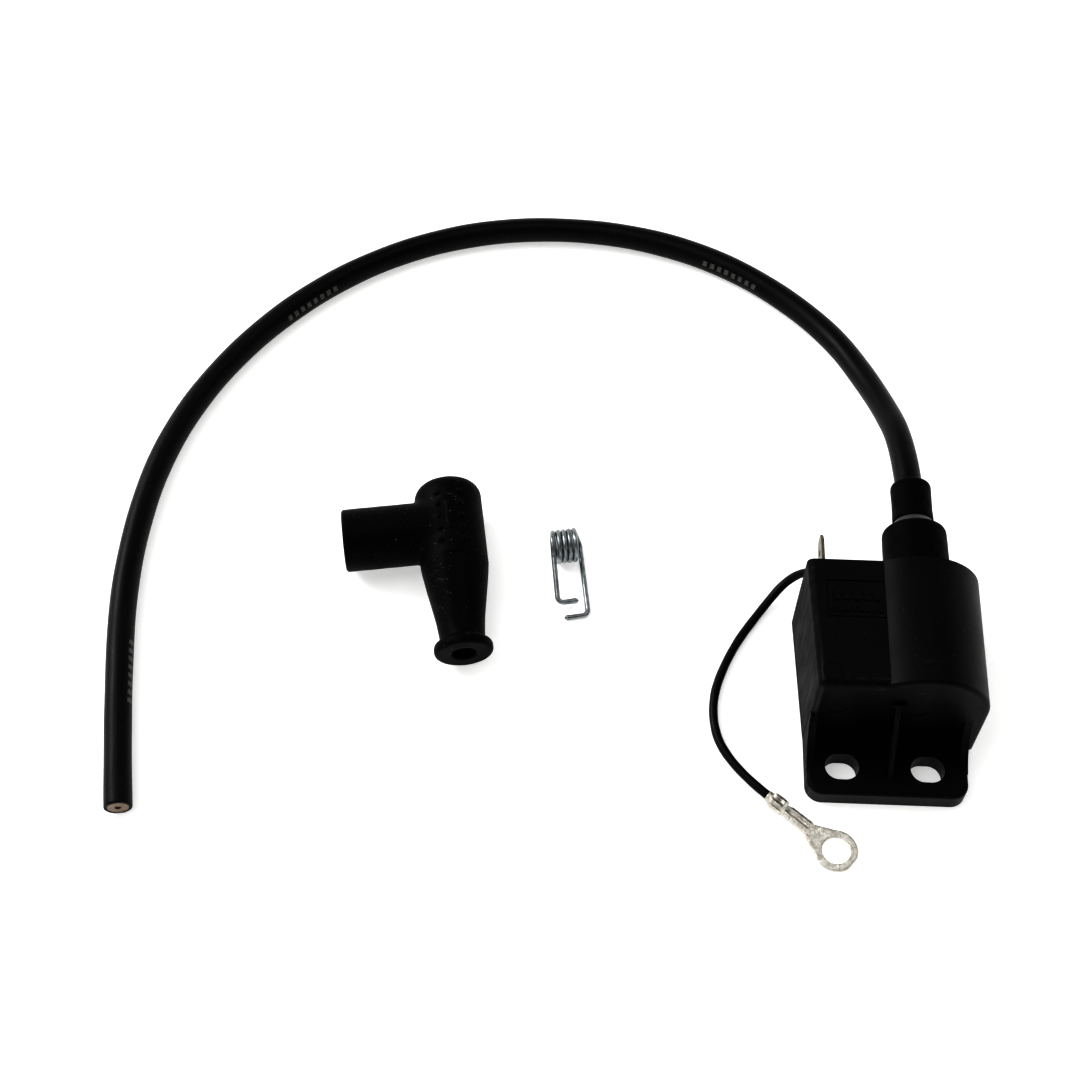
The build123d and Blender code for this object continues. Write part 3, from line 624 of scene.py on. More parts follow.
@dataclass(frozen=True)
class PrintedJacket(Finish):
    """Extruded jacket with a plain row of pale ink dashes that comes round again and again.

    Attributes:
        first: Distance of the first row along the lead, in mm.
        pitch: Distance from row to row, in mm.
        row: Length of a row, in mm.
        step: Distance from dash to dash, in mm.
        angle: Where the row lies round the lead, as a share of a turn.
        height_share: Height of a dash, as a share of a turn.
    """

    first: float = 106.5
    pitch: float = 132.3
    row: float = 18.8
    step: float = 2.35
    angle: float = 0.43
    height_share: float = 0.075

    def pattern(self, tree: bpy.types.NodeTree, spot: bpy.types.NodeSocket, look: Look) -> Look:
        """Dashes: windows along and round the lead, times a fine noise that thins the ink."""
        uv = add(tree, "UVMap", {"uv_map": "UVMap"}).outputs[0]
        parts = add(tree, "SeparateXYZ", {}, {"Vector": uv})
        along = add(
            tree,
            "MapRange",
            {
                "clamp": False,
                "From Min": self.first * MM,
                "From Max": (self.first + self.pitch) * MM,
            },
            {"Value": parts.outputs[1]},
        ).outputs[0]
        phase = add(tree, "Math", {"operation": "FRACT"}, {0: along}).outputs[0]
        in_row = add(tree, "Math", {"operation": "LESS_THAN", 1: self.row / self.pitch}, {0: phase})
        steps = add(tree, "Math", {"operation": "MULTIPLY", 1: self.pitch / self.step}, {0: phase})
        beat = add(tree, "Math", {"operation": "FRACT"}, {0: steps.outputs[0]})
        dash = add(tree, "Math", {"operation": "LESS_THAN", 1: 0.55}, {0: beat.outputs[0]})
        band = add(
            tree,
            "Math",
            {"operation": "COMPARE", 1: self.angle, 2: self.height_share / 2},
            {0: parts.outputs[0]},
        )
        rub = add(tree, "TexNoise", {"Scale": per_mm(0.3), "Detail": 2.0}, {"Vector": spot})
        ink = add(
            tree,
            "MapRange",
            {"From Min": 0.15, "From Max": 0.75, "To Max": 0.42},
            {"Value": rub.outputs[0]},
        ).outputs[0]
        for window in (in_row, dash, band):
            ink = add(
                tree, "Math", {"operation": "MULTIPLY"}, {0: ink, 1: window.outputs[0]}
            ).outputs[0]
        look.colour = add(
            tree, "Mix", {"data_type": "RGBA", 7: srgb("9a9892")}, {0: ink, 6: look.colour}
        ).outputs[2]
        draw = add(
            tree, "Mapping", {"Scale": (90.0, 12.0, 1.0)}, {"Vector": uv}
        ).outputs[0]
        lines = add(tree, "TexNoise", {"Scale": 1.0, "Detail": 2.0}, {"Vector": draw}).outputs[0]
        look.height = add(
            tree, "Math", {"operation": "MULTIPLY_ADD", 1: 0.02}, {0: lines, 2: look.height}
        ).outputs[0]
        return look


@dataclass(frozen=True)
class TinPlate(Finish):
    """Tin-plated sheet: soft crystals that catch the light, and small dark pits.

    Attributes:
        crystal: Size of the crystals, in mm.
        pit: Size of the pits, in mm.
    """

    crystal: float = 0.4
    pit: float = 0.3

    def pattern(self, tree: bpy.types.NodeTree, spot: bpy.types.NodeSocket, look: Look) -> Look:
        """Cells that differ in roughness, and peaks of a noise sunk and darkened as pits."""
        cells = add(tree, "TexVoronoi", {"Scale": per_mm(self.crystal)}, {"Vector": spot})
        shine = add(tree, "SeparateXYZ", {}, {"Vector": cells.outputs[1]}).outputs[0]
        look.rough = add(
            tree, "Math", {"operation": "MULTIPLY_ADD", 1: 0.16}, {0: shine, 2: look.rough}
        ).outputs[0]
        look.height = add(
            tree, "Math", {"operation": "MULTIPLY_ADD", 1: 0.012}, {0: shine, 2: look.height}
        ).outputs[0]
        noise = add(tree, "TexNoise", {"Scale": per_mm(self.pit), "Detail": 2.0}, {"Vector": spot})
        pits = add(
            tree,
            "MapRange",
            {"From Min": 0.58, "From Max": 0.74},
            {"Value": noise.outputs[0]},
        ).outputs[0]
        look.colour = add(
            tree, "Mix", {"data_type": "RGBA", 7: srgb("8f897d")}, {0: pits, 6: look.colour}
        ).outputs[2]
        look.height = add(
            tree, "Math", {"operation": "MULTIPLY_ADD", 1: -0.035}, {0: pits, 2: look.height}
        ).outputs[0]
        return look


@dataclass(frozen=True)
class DrawnWire(Finish):
    """Drawn wire: fine lines along its length, read from the piece's own UV map."""

    def pattern(self, tree: bpy.types.NodeTree, spot: bpy.types.NodeSocket, look: Look) -> Look:
        """Noise stretched along the wire, as drawing lines in height and roughness."""
        uv = add(tree, "UVMap", {"uv_map": "UVMap"}).outputs[0]
        draw = add(tree, "Mapping", {"Scale": (26.0, 300.0, 1.0)}, {"Vector": uv}).outputs[0]
        lines = add(tree, "TexNoise", {"Scale": 1.0, "Detail": 3.0}, {"Vector": draw}).outputs[0]
        look.height = add(
            tree, "Math", {"operation": "MULTIPLY_ADD", 1: 0.012}, {0: lines, 2: look.height}
        ).outputs[0]
        look.rough = add(
            tree, "Math", {"operation": "MULTIPLY_ADD", 1: 0.14}, {0: lines, 2: look.rough}
        ).outputs[0]
        return look


@dataclass(frozen=True)
class WoundWire(Finish):
    """Enamelled wire laid turn on turn along Y.

    Attributes:
        wire: Distance from turn to turn, in mm.
    """

    wire: float = 0.45

    def pattern(self, tree: bpy.types.NodeTree, spot: bpy.types.NodeSocket, look: Look) -> Look:
        """A wave along Y, one ridge for each turn, with painted shade that darkens the grooves."""
        ridge = add(
            tree,
            "TexWave",
            {
                "bands_direction": "Y",
                "Scale": per_mm(self.wire) / 20 * math.pi,
                "Distortion": 0.4,
            },
            {"Vector": spot},
        ).outputs[1]
        look.height = add(
            tree,
            "Math",
            {"operation": "MULTIPLY_ADD", 1: self.wire / 3},
            {0: ridge, 2: look.height},
        ).outputs[0]
        # Painted shade: the colour is darkened towards the shade colour in the grooves between
        # turns.
        groove = add(tree, "Math", {"operation": "SUBTRACT", 0: 1.0}, {1: ridge}).outputs[0]
        look.colour = add(
            tree,
            "Mix",
            {"data_type": "RGBA", "blend_type": "MULTIPLY", 7: srgb(self.shade)},
            {0: groove, 6: look.colour},
        ).outputs[2]
        return look


@dataclass(frozen=True)
class BootRubber(Finish):
    """Moulded rubber with the parting line of its two-part mould down the middle of one face.

    Attributes:
        turn: Rotation from the frame to the boot, as an Euler angle in radians.
        shift: Place of the frame's origin seen from the boot, in metres.
    """

    turn: tuple[float, float, float] = (0.0, 0.0, 0.0)
    shift: tuple[float, float, float] = (0.0, 0.0, 0.0)

    def pattern(self, tree: bpy.types.NodeTree, spot: bpy.types.NodeSocket, look: Look) -> Look:
        """A narrow ridge where the boot's own X is near zero, wavering a little."""
        own = add(
            tree, "Mapping", {"Location": self.shift, "Rotation": self.turn}, {"Vector": spot}
        ).outputs[0]
        waver = add(tree, "TexNoise", {"Scale": per_mm(5), "Detail": 2.0}, {"Vector": own})
        x = add(tree, "SeparateXYZ", {}, {"Vector": own}).outputs[0]
        bent = add(
            tree, "Math", {"operation": "MULTIPLY_ADD", 1: 0.3 * MM}, {0: waver.outputs[0], 2: x}
        ).outputs[0]
        line = add(
            tree, "Math", {"operation": "COMPARE", 1: 0.15 * MM, 2: 0.09 * MM}, {0: bent}
        ).outputs[0]
        look.height = add(
            tree, "Math", {"operation": "MULTIPLY_ADD", 1: 0.05}, {0: line, 2: look.height}
        ).outputs[0]
        return look


# Glass-filled polyester (PBT), moulded in a spark-eroded tool: blue-black, a fine even grain
# and a soft sheen, with a few pale scuffs and specks from handling.
HOUSING_PBT = MouldedHousing(
    "glass_filled_pbt", "07070a", "0b0b10", 0.46,
    grain=0.22, depth=0.014, dust=0.07, scuffs=0.08, level=0.18, blotch=11,
)

# Unfilled polyester, moulded smooth: a touch greyer than the housing, its grey painted lighter as a
# painted reflection that stands for the pale band of light round the neck.
TOWER_PBT_PAINTED_SHEEN = Finish("plain_pbt_painted_sheen", "38383a", "414143", 0.4, grain=0.3, depth=0.006, dust=0.1)

# Two-part casting epoxy, poured and self-levelled: glossy black with slight flow marks.
POTTING_EPOXY = Finish(
    "casting_epoxy", "0a0908", "15110c", 0.24, ior=1.55, blotch=9, grain=2.4, depth=0.09, dust=0.2,
)

# Moulded EPDM rubber of the boot and sleeve: the blackest surface here, matte, with bloom.
EPDM_RUBBER = Finish(
    "epdm_rubber", "050506", "09090b", 0.6,
    level=0.1, grain=0.3, depth=0.014, blotch=4, dust=0.06, spread=0.09,
)

# Extruded rubber-like jacket: black with a long soft sheen, faint draw lines and printed dashes.
LEAD_JACKET = PrintedJacket(
    "extruded_epdm_jacket", "09090b", "0f0f13", 0.42,
    level=0.2, grain=0.5, depth=0.01, blotch=14, dust=0.08, spread=0.07,
)

# Cross-linked polyethylene, cut with a blade: warm tan, waxy, a little rough.
LEAD_XLPE = Finish(
    "cross_linked_polyethylene", "7a6958", "8c7e70", 0.55, grain=0.45, depth=0.05, blotch=1.6,
)

# Old bare copper strand, tarnished brown at its cut end.
TARNISHED_COPPER = DrawnWire(
    "tarnished_copper", "2c2118", "43342a", 0.5, metallic=1.0, blotch=0.8, grain=0.2, depth=0.01,
)

# Soft PVC insulation of the ground lead: black with a glossy extruded skin.
WIRE_PVC = Finish(
    "extruded_pvc", "060507", "0a080c", 0.4,
    level=0.22, grain=0.6, depth=0.008, blotch=5, dust=0.08,
)

# Tin-dipped copper strand: bright silver wires.
TINNED_COPPER = DrawnWire(
    "tinned_copper", "c9c5bc", "a39e94", 0.3, metallic=1.0, blotch=1.0, grain=0.2, depth=0.006,
)

# Tin-plated brass sheet, stamped: satin silver with a warm cast, soft crystals and pits.
TINNED_BRASS = TinPlate(
    "tin_plated_brass", "dedbd4", "b8b3a9", 0.3,
    metallic=1.0, spread=0.1, blotch=1.8, grain=0.3, depth=0.02, scuffs=0.2, dust_colour="efede6",
)

# The same plating on the spade, smoother and duller; its colour is painted darker than the ring's,
# as painted shade.
SHADED_DULL_TIN = Finish(
    "dull_tin_plate_painted_shade", "746c61", "5f584e", 0.36, metallic=1.0, blotch=1.6, grain=0.3, depth=0.008,
)

# Zinc-plated spring steel wire: bright blue-grey with drawing lines.
ZINC_WIRE = DrawnWire(
    "zinc_plated_spring_steel", "9fa3a4", "7a7e80", 0.24,
    metallic=1.0, blotch=1.5, grain=0.25, depth=0.008,
)

# Turned brass of the contact spike: yellow metal with a fine grain.
TURNED_BRASS = Finish(
    "turned_brass", "b08d4a", "8f6f36", 0.3, metallic=1.0, blotch=2, grain=0.2, depth=0.01,
)

# Silicon-steel sheet with its grey-blue insulating oxide.
CORE_STEEL = Finish(
    "silicon_steel", "5d646b", "454a50", 0.45, metallic=1.0, blotch=3, grain=0.4, depth=0.012,
)

# Nylon bobbins, moulded natural: off-white, slightly waxy.
BOBBIN_NYLON = Finish(
    "natural_nylon", "cfc6ae", "bdb296", 0.42, ior=1.53, blotch=5, grain=0.5, depth=0.01,
)

# Heavy enamelled copper of the primary, laid turn on turn.
PRIMARY_COPPER = WoundWire(
    "enamelled_copper", "a4532a", "7c3a1c", 0.25, metallic=1.0, blotch=3, wire=0.5,
)

# Hair-fine enamelled copper of the secondary. Its 0.05 mm turns are drawn 0.25 mm apart to show.
SECONDARY_COPPER = WoundWire(
    "fine_enamelled_copper", "b5683a", "8c4a26", 0.32, metallic=1.0, blotch=4, wire=0.25,
)

# Glass-epoxy laminate with green solder mask: a smooth, slightly uneven green.
BOARD_LAMINATE = Finish(
    "glass_epoxy_laminate", "1d4d2c", "17402a", 0.36, ior=1.55, blotch=6, grain=0.5, depth=0.015,
)

# Flame-retardant polyester box of the film capacitor: dull red-brown, moulded.
CAPACITOR_CASE = Finish(
    "capacitor_polyester", "7a2f22", "6a271c", 0.4, blotch=5, grain=0.35, depth=0.012, dust=0.1,
)

# Black moulding epoxy of the thyristor and diodes, with a matte sparked finish.
PACKAGE_EPOXY = Finish(
    "package_epoxy", "151516", "1d1d1f", 0.55, ior=1.55, blotch=3, grain=0.18, depth=0.012,
)

# Buff lacquer over the gate resistors.
RESISTOR_LACQUER = Finish(
    "resistor_lacquer", "b79d72", "a58a5e", 0.35, blotch=2, grain=0.4, depth=0.015,
)

# Matt white paper over a light table: evenly pale, with barely any tooth.
STUDIO_PAPER = Finish(
    "studio_paper", "f2f2f1", "eeeeed", 0.9,
    level=0.1, blotch=300, grain=1.5, depth=0.01, glow=0.34,
)


def dress(material: bpy.types.Material, *nodes: str) -> None:
    """Give CAD nodes a material, in their own slots.

    Args:
        material: The material.
        nodes: Names of the nodes.
    """
    for name in nodes:
        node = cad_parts[name]
        if not node.material_slots:
            node.data.materials.append(material)
        for slot in node.material_slots:
            slot.material = material
        LOG.info("%s wears %s", name, material.name)


# ---- Studio -------------------------------------------------------------------------------


@dataclass
class Studio:
    """Pale paper sweep that glows like a light table, four soft lights, and the camera.

    Attributes:
        camera_place: Camera position, in mm.
        camera_aim: The point on the floor that it looks at, in mm.
        camera_roll: Turn about its own axis, in degrees.
        lens: Focal length, in mm, on a 36 mm sensor.
        floor_rings: Radii of the rings inside the flat part of the sweep, in mm.
        floor_radius: Flat part of the sweep, in mm.
        wall_radius: Radius of the sweep's wall, in mm.
        wall_height: Height of the sweep's wall, in mm.
        thickness: Thickness of the sweep, in mm.
        sink: How far the paper lies under the coil, in mm.
        surroundings: Strength of the even light from all round.
        softboxes: Name, place in mm, side in mm and power in watts of each light.
    """

    camera_place: tuple[float, float, float] = (-80.05, -192.92, 427.57)
    camera_aim: tuple[float, float, float] = (-87.04, 65.14, 0.0)
    camera_roll: float = 0.707
    lens: float = 62.51
    floor_rings: tuple[float, ...] = (60.0, 400.0)
    floor_radius: float = 1300.0
    wall_radius: float = 2000.0
    wall_height: float = 1500.0
    thickness: float = 15.0
    sink: float = 0.02
    surroundings: float = 0.12
    softboxes: tuple[tuple[str, tuple[float, float, float], float, float], ...] = (
        ("overhead_softbox", (-560.0, 160.0, 1050.0), 900.0, 3.4),
        ("side_softbox", (-1000.0, 500.0, 700.0), 500.0, 5.0),
        ("front_softbox", (-60.0, -900.0, 440.0), 500.0, 0.1),
        ("rear_softbox", (200.0, 345.0, 900.0), 500.0, 0.7),
    )

    def make_camera(self) -> None:
        """Set the camera at its place, looking at its aim."""
        data = bpy.data.cameras.new("camera")
        data.lens = self.lens
        data.sensor_width = 36.0
        data.clip_start = 0.01
        data.clip_end = 20.0
        camera = bpy.data.objects.new("camera", data)
        place, aim = (Vector(point) * MM for point in (self.camera_place, self.camera_aim))
        facing = (aim - place).to_track_quat("-Z", "Y").to_matrix()
        roll = Matrix.Rotation(math.radians(self.camera_roll), 3, "Z")
        camera.matrix_world = Matrix.Translation(place) @ (facing @ roll).to_4x4()
        bpy.context.scene.collection.objects.link(camera)
        bpy.context.scene.camera = camera

    def make_sweep(self) -> None:
        """Round sweep: a flat disc that curves up into a wall, a lathe about Z."""
        bend = np.linspace(0, np.pi / 2, 16)
        reach = self.wall_radius - self.floor_radius
        curve = np.stack(
            [self.floor_radius + reach * np.sin(bend), reach * (1 - np.cos(bend))], axis=1
        )
        flat = [(radius, 0.0) for radius in self.floor_rings]
        inside = np.vstack([flat, curve, [[self.wall_radius, self.wall_height]]])
        outside = inside[::-1] + [self.thickness, -self.thickness]
        drop = np.array([0.0, -self.sink])
        rings = turned(np.vstack([inside + drop, outside]), 96)
        skin = weave(rings, Ends.POLES)
        mesh = bpy.data.meshes.new("studio_sweep")
        points = skin.points * MM
        starts = np.cumsum(skin.sizes) - skin.sizes
        faces = [skin.corners[s : s + n].tolist() for s, n in zip(starts, skin.sizes)]
        mesh.from_pydata(points.tolist(), [], faces)
        mesh.polygons.foreach_set("use_smooth", np.ones(len(faces), bool))
        mesh.materials.append(STUDIO_PAPER.build())
        sweep = bpy.data.objects.new("studio_sweep", mesh)
        bpy.context.scene.collection.objects.link(sweep)

    def make_light(
        self, name: str, place: tuple[float, float, float], size: float, power: float
    ) -> None:
        """Hang a square soft light that faces the coil.

        Args:
            name: Its name.
            place: Its place, in mm.
            size: Its side, in mm.
            power: Its power, in watts.
        """
        data = bpy.data.lights.new(name, "AREA")
        data.shape = "SQUARE"
        data.size = size * MM
        data.energy = power
        light = bpy.data.objects.new(name, data)
        spot = Vector(place) * MM
        aim = Vector((self.camera_aim[0], self.camera_aim[1], 0.0)) * MM
        turn = (aim - spot).to_track_quat("-Z", "Y").to_matrix().to_4x4()
        light.matrix_world = Matrix.Translation(spot) @ turn
        bpy.context.scene.collection.objects.link(light)

    def make_world(self) -> None:
        """Dim even surroundings, so that black rubber and plastic stay black."""
        world = bpy.data.worlds.new("studio")
        world.use_nodes = True
        back = world.node_tree.nodes["Background"]
        back.inputs["Color"].default_value = srgb("f4f6fa")
        back.inputs["Strength"].default_value = self.surroundings
        bpy.context.scene.world = world

    def build(self) -> None:
        """Set up the camera, the sweep and the lights."""
        self.make_camera()
        self.make_sweep()
        for softbox in self.softboxes:
            self.make_light(*softbox)
        self.make_world()
        bpy.context.scene.view_settings.view_transform = "Standard"
        bpy.context.scene.view_settings.look = "Very High Contrast"
        LOG.info("studio: camera at %s mm", self.camera_place)


# ---- High-tension lead --------------------------------------------------------------------


@dataclass
class HighTensionLead:
    """The 7 mm lead: jacket, insulation and twisted conductor, cut square at its free end.

    Attributes:
        route: Control points of the lead's line, in mm.
        diameter: Outer diameter of the jacket, in mm.
        insulation: Outer diameter of the insulation, in mm.
        conductor: Diameter over the strands, in mm.
        length: The lead's real length, in mm.
        exit_y: Y at which it leaves its sleeve, in mm.
        strand_lay: Length of one twist of the strands, in mm.
    """

    route: list[tuple[float, float, float]] = field(
        default_factory=lambda: [
            (8.5, 58, 19.4),
            (8.5, 84, 19.4),
            (4, 109.5, 8.8),
            (-9, 137.5, 3.5),
            (-36.5, 159.5, 3.5),
            (-70, 170, 3.5),
            (-108, 168.7, 3.5),
            (-142.5, 154, 3.5),
            (-171.2, 127, 3.5),
            (-190, 92, 3.5),
            (-195.3, 52, 3.5),
            (-191.3, 12, 3.5),
            (-186.5, -17.2, 3.5),
        ]
    )
    diameter: float = 7.0
    insulation: float = 5.25
    conductor: float = 1.6
    length: float = 416.5
    exit_y: float = 73.8
    strand_lay: float = 14.0

    def jacket_skin(self, line: Line) -> Skin:
        """Outer wall, rounded cut lip and inner wall, as one profile of (distance, radius).

        The radius swells and shrinks by a few hundredths along the lead, and the lip of the
        cut wavers round its ring.

        Args:
            line: The lead's line.

        Returns:
            A closed tube.
        """
        outer, inner, end = self.diameter / 2, self.insulation / 2 + 0.02, line.length
        lip = [(0.5, outer), (0.22, outer - 0.03), (0.05, outer - 0.13), (0.0, outer - 0.28)]
        lip += [(0.0, inner + 0.16), (0.08, inner + 0.04), (0.6, inner)]
        profile = tube_profile(end, 1.0, outer, inner, lip)
        sides = 40
        t = np.linspace(0, 2 * np.pi, sides, endpoint=False)
        swell = 0.035 * np.sin(profile[:, :1] / 9.3) + 0.02 * np.sin(profile[:, :1] / 3.1 + 2 * t)
        rings = line.rings(profile[:, 0], profile[:, 1:] - 0.035 + swell, sides)
        at_lip = (profile[:, 0] > end - 0.3)[:, None, None]
        uneven = (0.07 * np.sin(2 * t + 0.6) + 0.04 * np.sin(5 * t))[None, :, None]
        rings = rings - at_lip * np.abs(uneven) * line.tangents[-1]
        return weave(rings, Ends.LOOP, profile[:, 0] * MM)

    def insulation_skin(self, line: Line) -> Skin:
        """Tan insulation with a cut face that dishes slightly between its rim and its core.

        Args:
            line: The lead's line.

        Returns:
            A closed tube.
        """
        outer, inner, end = self.insulation / 2, self.conductor / 2 + 0.01, line.length
        across = np.linspace(outer - 0.06, inner + 0.05, 9)
        dish = 0.05 + 0.12 * np.sin(np.linspace(0, np.pi, 9))
        lip = [(0.12, outer), *zip(dish, across), (0.25, inner)]
        profile = tube_profile(end, 2.0, outer, inner, lip)
        rings = line.rings(profile[:, 0], profile[:, 1:], 36)
        at_face = ((profile[:, 0] > end - 0.2) & (profile[:, 1] < outer))[:, None, None]
        cut = 0.05 * ripple(rings, 1.3, 0.7)[..., None] * line.tangents[-1]
        return weave(rings + at_face * cut, Ends.LOOP, profile[:, 0] * MM)

    def strand_skins(self, line: Line) -> list[Skin]:
        """Seven round strands, six wound about one, whose ends stand at uneven heights.

        Args:
            line: The lead's line.

        Returns:
            One closed rod for each strand.
        """
        thick = self.conductor / 6
        skins = []
        for number in range(STRANDS):
            away = 0.0 if number == 0 else 2 * thick
            strand = line.offset(away, 1 / self.strand_lay, number * math.pi / 3)
            end = strand.length - 0.1 + 0.09 * math.sin(2.4 * number)
            at = np.append(np.arange(7.0, end - 0.2, 1.2), [end - 0.06, end])
            radius = np.full(len(at), thick * 0.97)
            radius[-1] = thick * 0.75
            skins.append(weave(strand.rings(at, radius, 10), Ends.POLES, at * MM))
        return skins

    def build(self) -> None:
        line = smooth_line("ht_lead_line", self.route)
        strands = make_piece(
            "lead_conductor_strands", self.strand_skins(line), TARNISHED_COPPER.build(),
            "coil", ("ht_lead_conductor",),
        )
        insulation = make_piece(
            "lead_insulation", [self.insulation_skin(line)], LEAD_XLPE.build(),
            "coil", ("ht_lead_insulation",),
        )
        jacket = make_piece(
            "lead_jacket", [self.jacket_skin(line)], LEAD_JACKET.build(),
            "coil", ("ht_lead_jacket",),
        )
        LOG.info("high-tension lead: line %.1f mm long", line.length)


# ---- Ring terminal ------------------------------------------------------------------------


@dataclass
class RingTerminal:
    """Stamped ring terminal: flat ring, teardrop neck, conductor crimp and insulation crimp.

    Its own X runs from the hole towards the wire and Z is up. Sizes are in mm.

    Attributes:
        hole: Centre of the hole in the frame.
        angle: Direction of the wire, in degrees.
        hole_radius: Radius of the hole.
        outer_radius: Radius of the ring.
        thickness: Thickness of the sheet.
        neck_end: Where the neck meets the crimp.
        neck_half: Half the neck's width there.
        crimp_step: Where the conductor crimp ends.
        crimp_start: Where the wire enters.
        cut_flat: Distance of the flat where the strip was cut.
        touch_angle: Where the neck's sides meet the ring, in degrees.
    """

    hole: tuple[float, float] = (-12.1, -20.0)
    angle: float = 141.0
    hole_radius: float = 3.5
    outer_radius: float = 5.3
    thickness: float = 0.8
    neck_end: float = 8.3
    neck_half: float = 1.75
    crimp_step: float = 15.0
    crimp_start: float = 21.0
    cut_flat: float = 5.0
    touch_angle: float = 52.0

    def placed(self, points: np.ndarray) -> np.ndarray:
        """Points from the terminal's own axes to the frame."""
        turn = Matrix.Rotation(math.radians(self.angle), 4, "Z")
        return moved(points, Matrix.Translation((*self.hole, 0.0)) @ turn)

    def outline(self, t: np.ndarray) -> np.ndarray:
        """Distance of the edge from the hole's centre: ring, tangent neck, and strip flat.

        Args:
            t: Angles, in radians.

        Returns:
            The largest of the ring's radius and the ray's meeting with the neck's two sides.
        """
        touch = math.radians(self.touch_angle)
        start = self.outer_radius * np.array([math.cos(touch), math.sin(touch)])
        side = np.array([self.neck_end, self.neck_half]) - start
        across = np.abs(np.sin(t)) * side[0] - np.cos(t) * side[1]
        meets = (start[1] * side[0] - start[0] * side[1]) / np.where(across > 1e-3, across, 1e3)
        forward = np.cos(t) > math.cos(touch)
        ends = self.neck_end / np.maximum(np.cos(t), 0.1)
        neck = np.minimum(np.maximum(meets, self.outer_radius), ends)
        reach = np.where(forward, neck, self.outer_radius)
        behind = np.where(np.cos(t) < -0.5, self.cut_flat / np.maximum(-np.cos(t), 0.5), 1e3)
        soft = np.minimum(reach, behind)
        return 0.25 * np.roll(soft, 1) + 0.5 * soft + 0.25 * np.roll(soft, -1)

    def plate_skin(self) -> Skin:
        """Ring and neck: a rounded section carried round the hole out to the outline.

        Returns:
            The closed plate.
        """
        sides = 144
        t = np.linspace(0, 2 * np.pi, sides, endpoint=False)
        edge = self.outline(t)
        top = self.thickness
        inward = [(0.0, 0.12), (0.0, top - 0.1), (0.02, top - 0.03), (0.08, top)]
        outward = [(0.24, top - 0.01), (0.08, top - 0.06), (0.0, top - 0.2), (0.0, 0.1), (0.1, 0.0)]
        share = np.linspace(0, 1, 10)[:, None]
        first = self.hole_radius + np.array([a for a, _ in inward])[:, None] + 0 * t
        last = edge - np.array([a for a, _ in outward])[:, None]
        middle = first[-1] * (1 - share) + last[0] * share
        under = np.array([self.hole_radius + 0.1])[:, None] + 0 * t
        radius = np.vstack([first, middle[1:-1], last, under])
        heights = np.array([z for _, z in inward] + [top] * 8 + [z for _, z in outward] + [0.0])
        z = np.broadcast_to(heights[:, None], radius.shape)
        rings = np.stack([radius * np.cos(t), radius * np.sin(t), z], axis=-1)
        worn = 0.035 * ripple(rings, 2.1, 1.9) * (z > 0.5 * top)
        rings[..., 2] += worn - 0.02 * (z > 0.5 * top)
        return weave(self.placed(rings), Ends.LOOP)

    def crimp_skin(self) -> Skin:
        """Both crimps as one skin whose section changes along X.

        The section is a squared-off oval about the wire's axis. Its top sinks in a groove where
        the two rolled edges meet, its sides are pressed in, and its size follows X: narrow at
        the neck, wide over the insulation, and waisted between them.

        Returns:
            The closed skin.
        """
        x = np.linspace(self.neck_end - 1.4, self.crimp_start, 70)
        sides = 64
        t = np.linspace(0, 2 * np.pi, sides, endpoint=False)
        step = self.crimp_step
        keys = [self.neck_end - 1.4, self.neck_end + 0.2, step - 0.8, step + 0.5, step + 1.4]
        keys += [self.crimp_start - 1.7, self.crimp_start - 1.1, self.crimp_start]
        half_width = np.interp(x, keys, [1.5, 1.75, 1.7, 1.35, 1.86, 1.88, 1.5, 1.42])[:, None]
        top = np.interp(x, keys, [0.62, 2.25, 2.3, 2.45, 3.55, 3.6, 3.25, 3.2])[:, None]
        sharp = np.interp(x, keys, [3.4, 3.4, 3.2, 2.4, 2.5, 2.5, 2.0, 2.0])[:, None]
        groove = np.interp(x, keys, [0.1, 0.75, 0.7, 0.25, 0.4, 0.4, 0.0, 0.0])[:, None]
        folds = np.interp(x, keys, [0.0, 0.14, 0.14, 0.05, 0.1, 0.1, 0.0, 0.0])[:, None]
        cos, sin = np.cos(t), np.sin(t)
        y = half_width * np.sign(cos) * np.abs(cos) ** (2 / sharp)
        middle = top / 2
        z = middle + (middle - 0.02) * np.sign(sin) * np.abs(sin) ** (2 / sharp)
        upper = np.clip(sin, 0, 1)
        z = z - groove * np.exp(-((y / 0.3) ** 2)) * upper
        z = z + folds * np.cos(y * 2 * np.pi / 0.85) * upper
        points = np.stack([np.broadcast_to(x[:, None], y.shape), y, z], axis=-1)
        dent = np.exp(-(((x - self.crimp_start + 3.6) / 0.75) ** 2))[:, None]
        points[..., 2] -= 0.4 * dent * np.exp(-(((y + 0.4) / 0.7) ** 2)) * upper
        points[..., 2] += 0.05 * ripple(points, 1.3, 4.2) * upper
        return weave(self.placed(points), Ends.POLES)

    def wing_skins(self) -> list[Skin]:
        """Two folded wings on the insulation crimp: bowed strips laid against its sides.

        Each strip is a rounded section swept along X, tilted outwards towards its top.

        Returns:
            One closed strip for each side.
        """
        skins = []
        for side in (-1.0, 1.0):
            x = np.linspace(self.crimp_step + 0.9, self.crimp_start - 1.2, 24)
            t = np.linspace(0, 2 * np.pi, 16, endpoint=False)
            bow = np.sin(np.linspace(0, np.pi, len(x))) ** 0.5
            y = side * (1.72 + 0.16 * bow[:, None] + 0.15 * np.cos(t))
            z = 1.5 + (0.95 + 0.35 * bow[:, None]) * np.sin(t) + 0.25 * side
            points = np.stack([np.broadcast_to(x[:, None], y.shape), y, z], axis=-1)
            skins.append(weave(self.placed(points), Ends.POLES))
        return skins

    def build(self) -> bpy.types.Object:
        """Make the terminal, in place of its plain node.

        Returns:
            The piece.
        """
        skins = [self.plate_skin(), self.crimp_skin(), *self.wing_skins()]
        return make_piece(
            "crimped_ring_terminal", skins, TINNED_BRASS.build(),
            "coil", ("ring_terminal",),
        )


# ---- Ground lead --------------------------------------------------------------------------


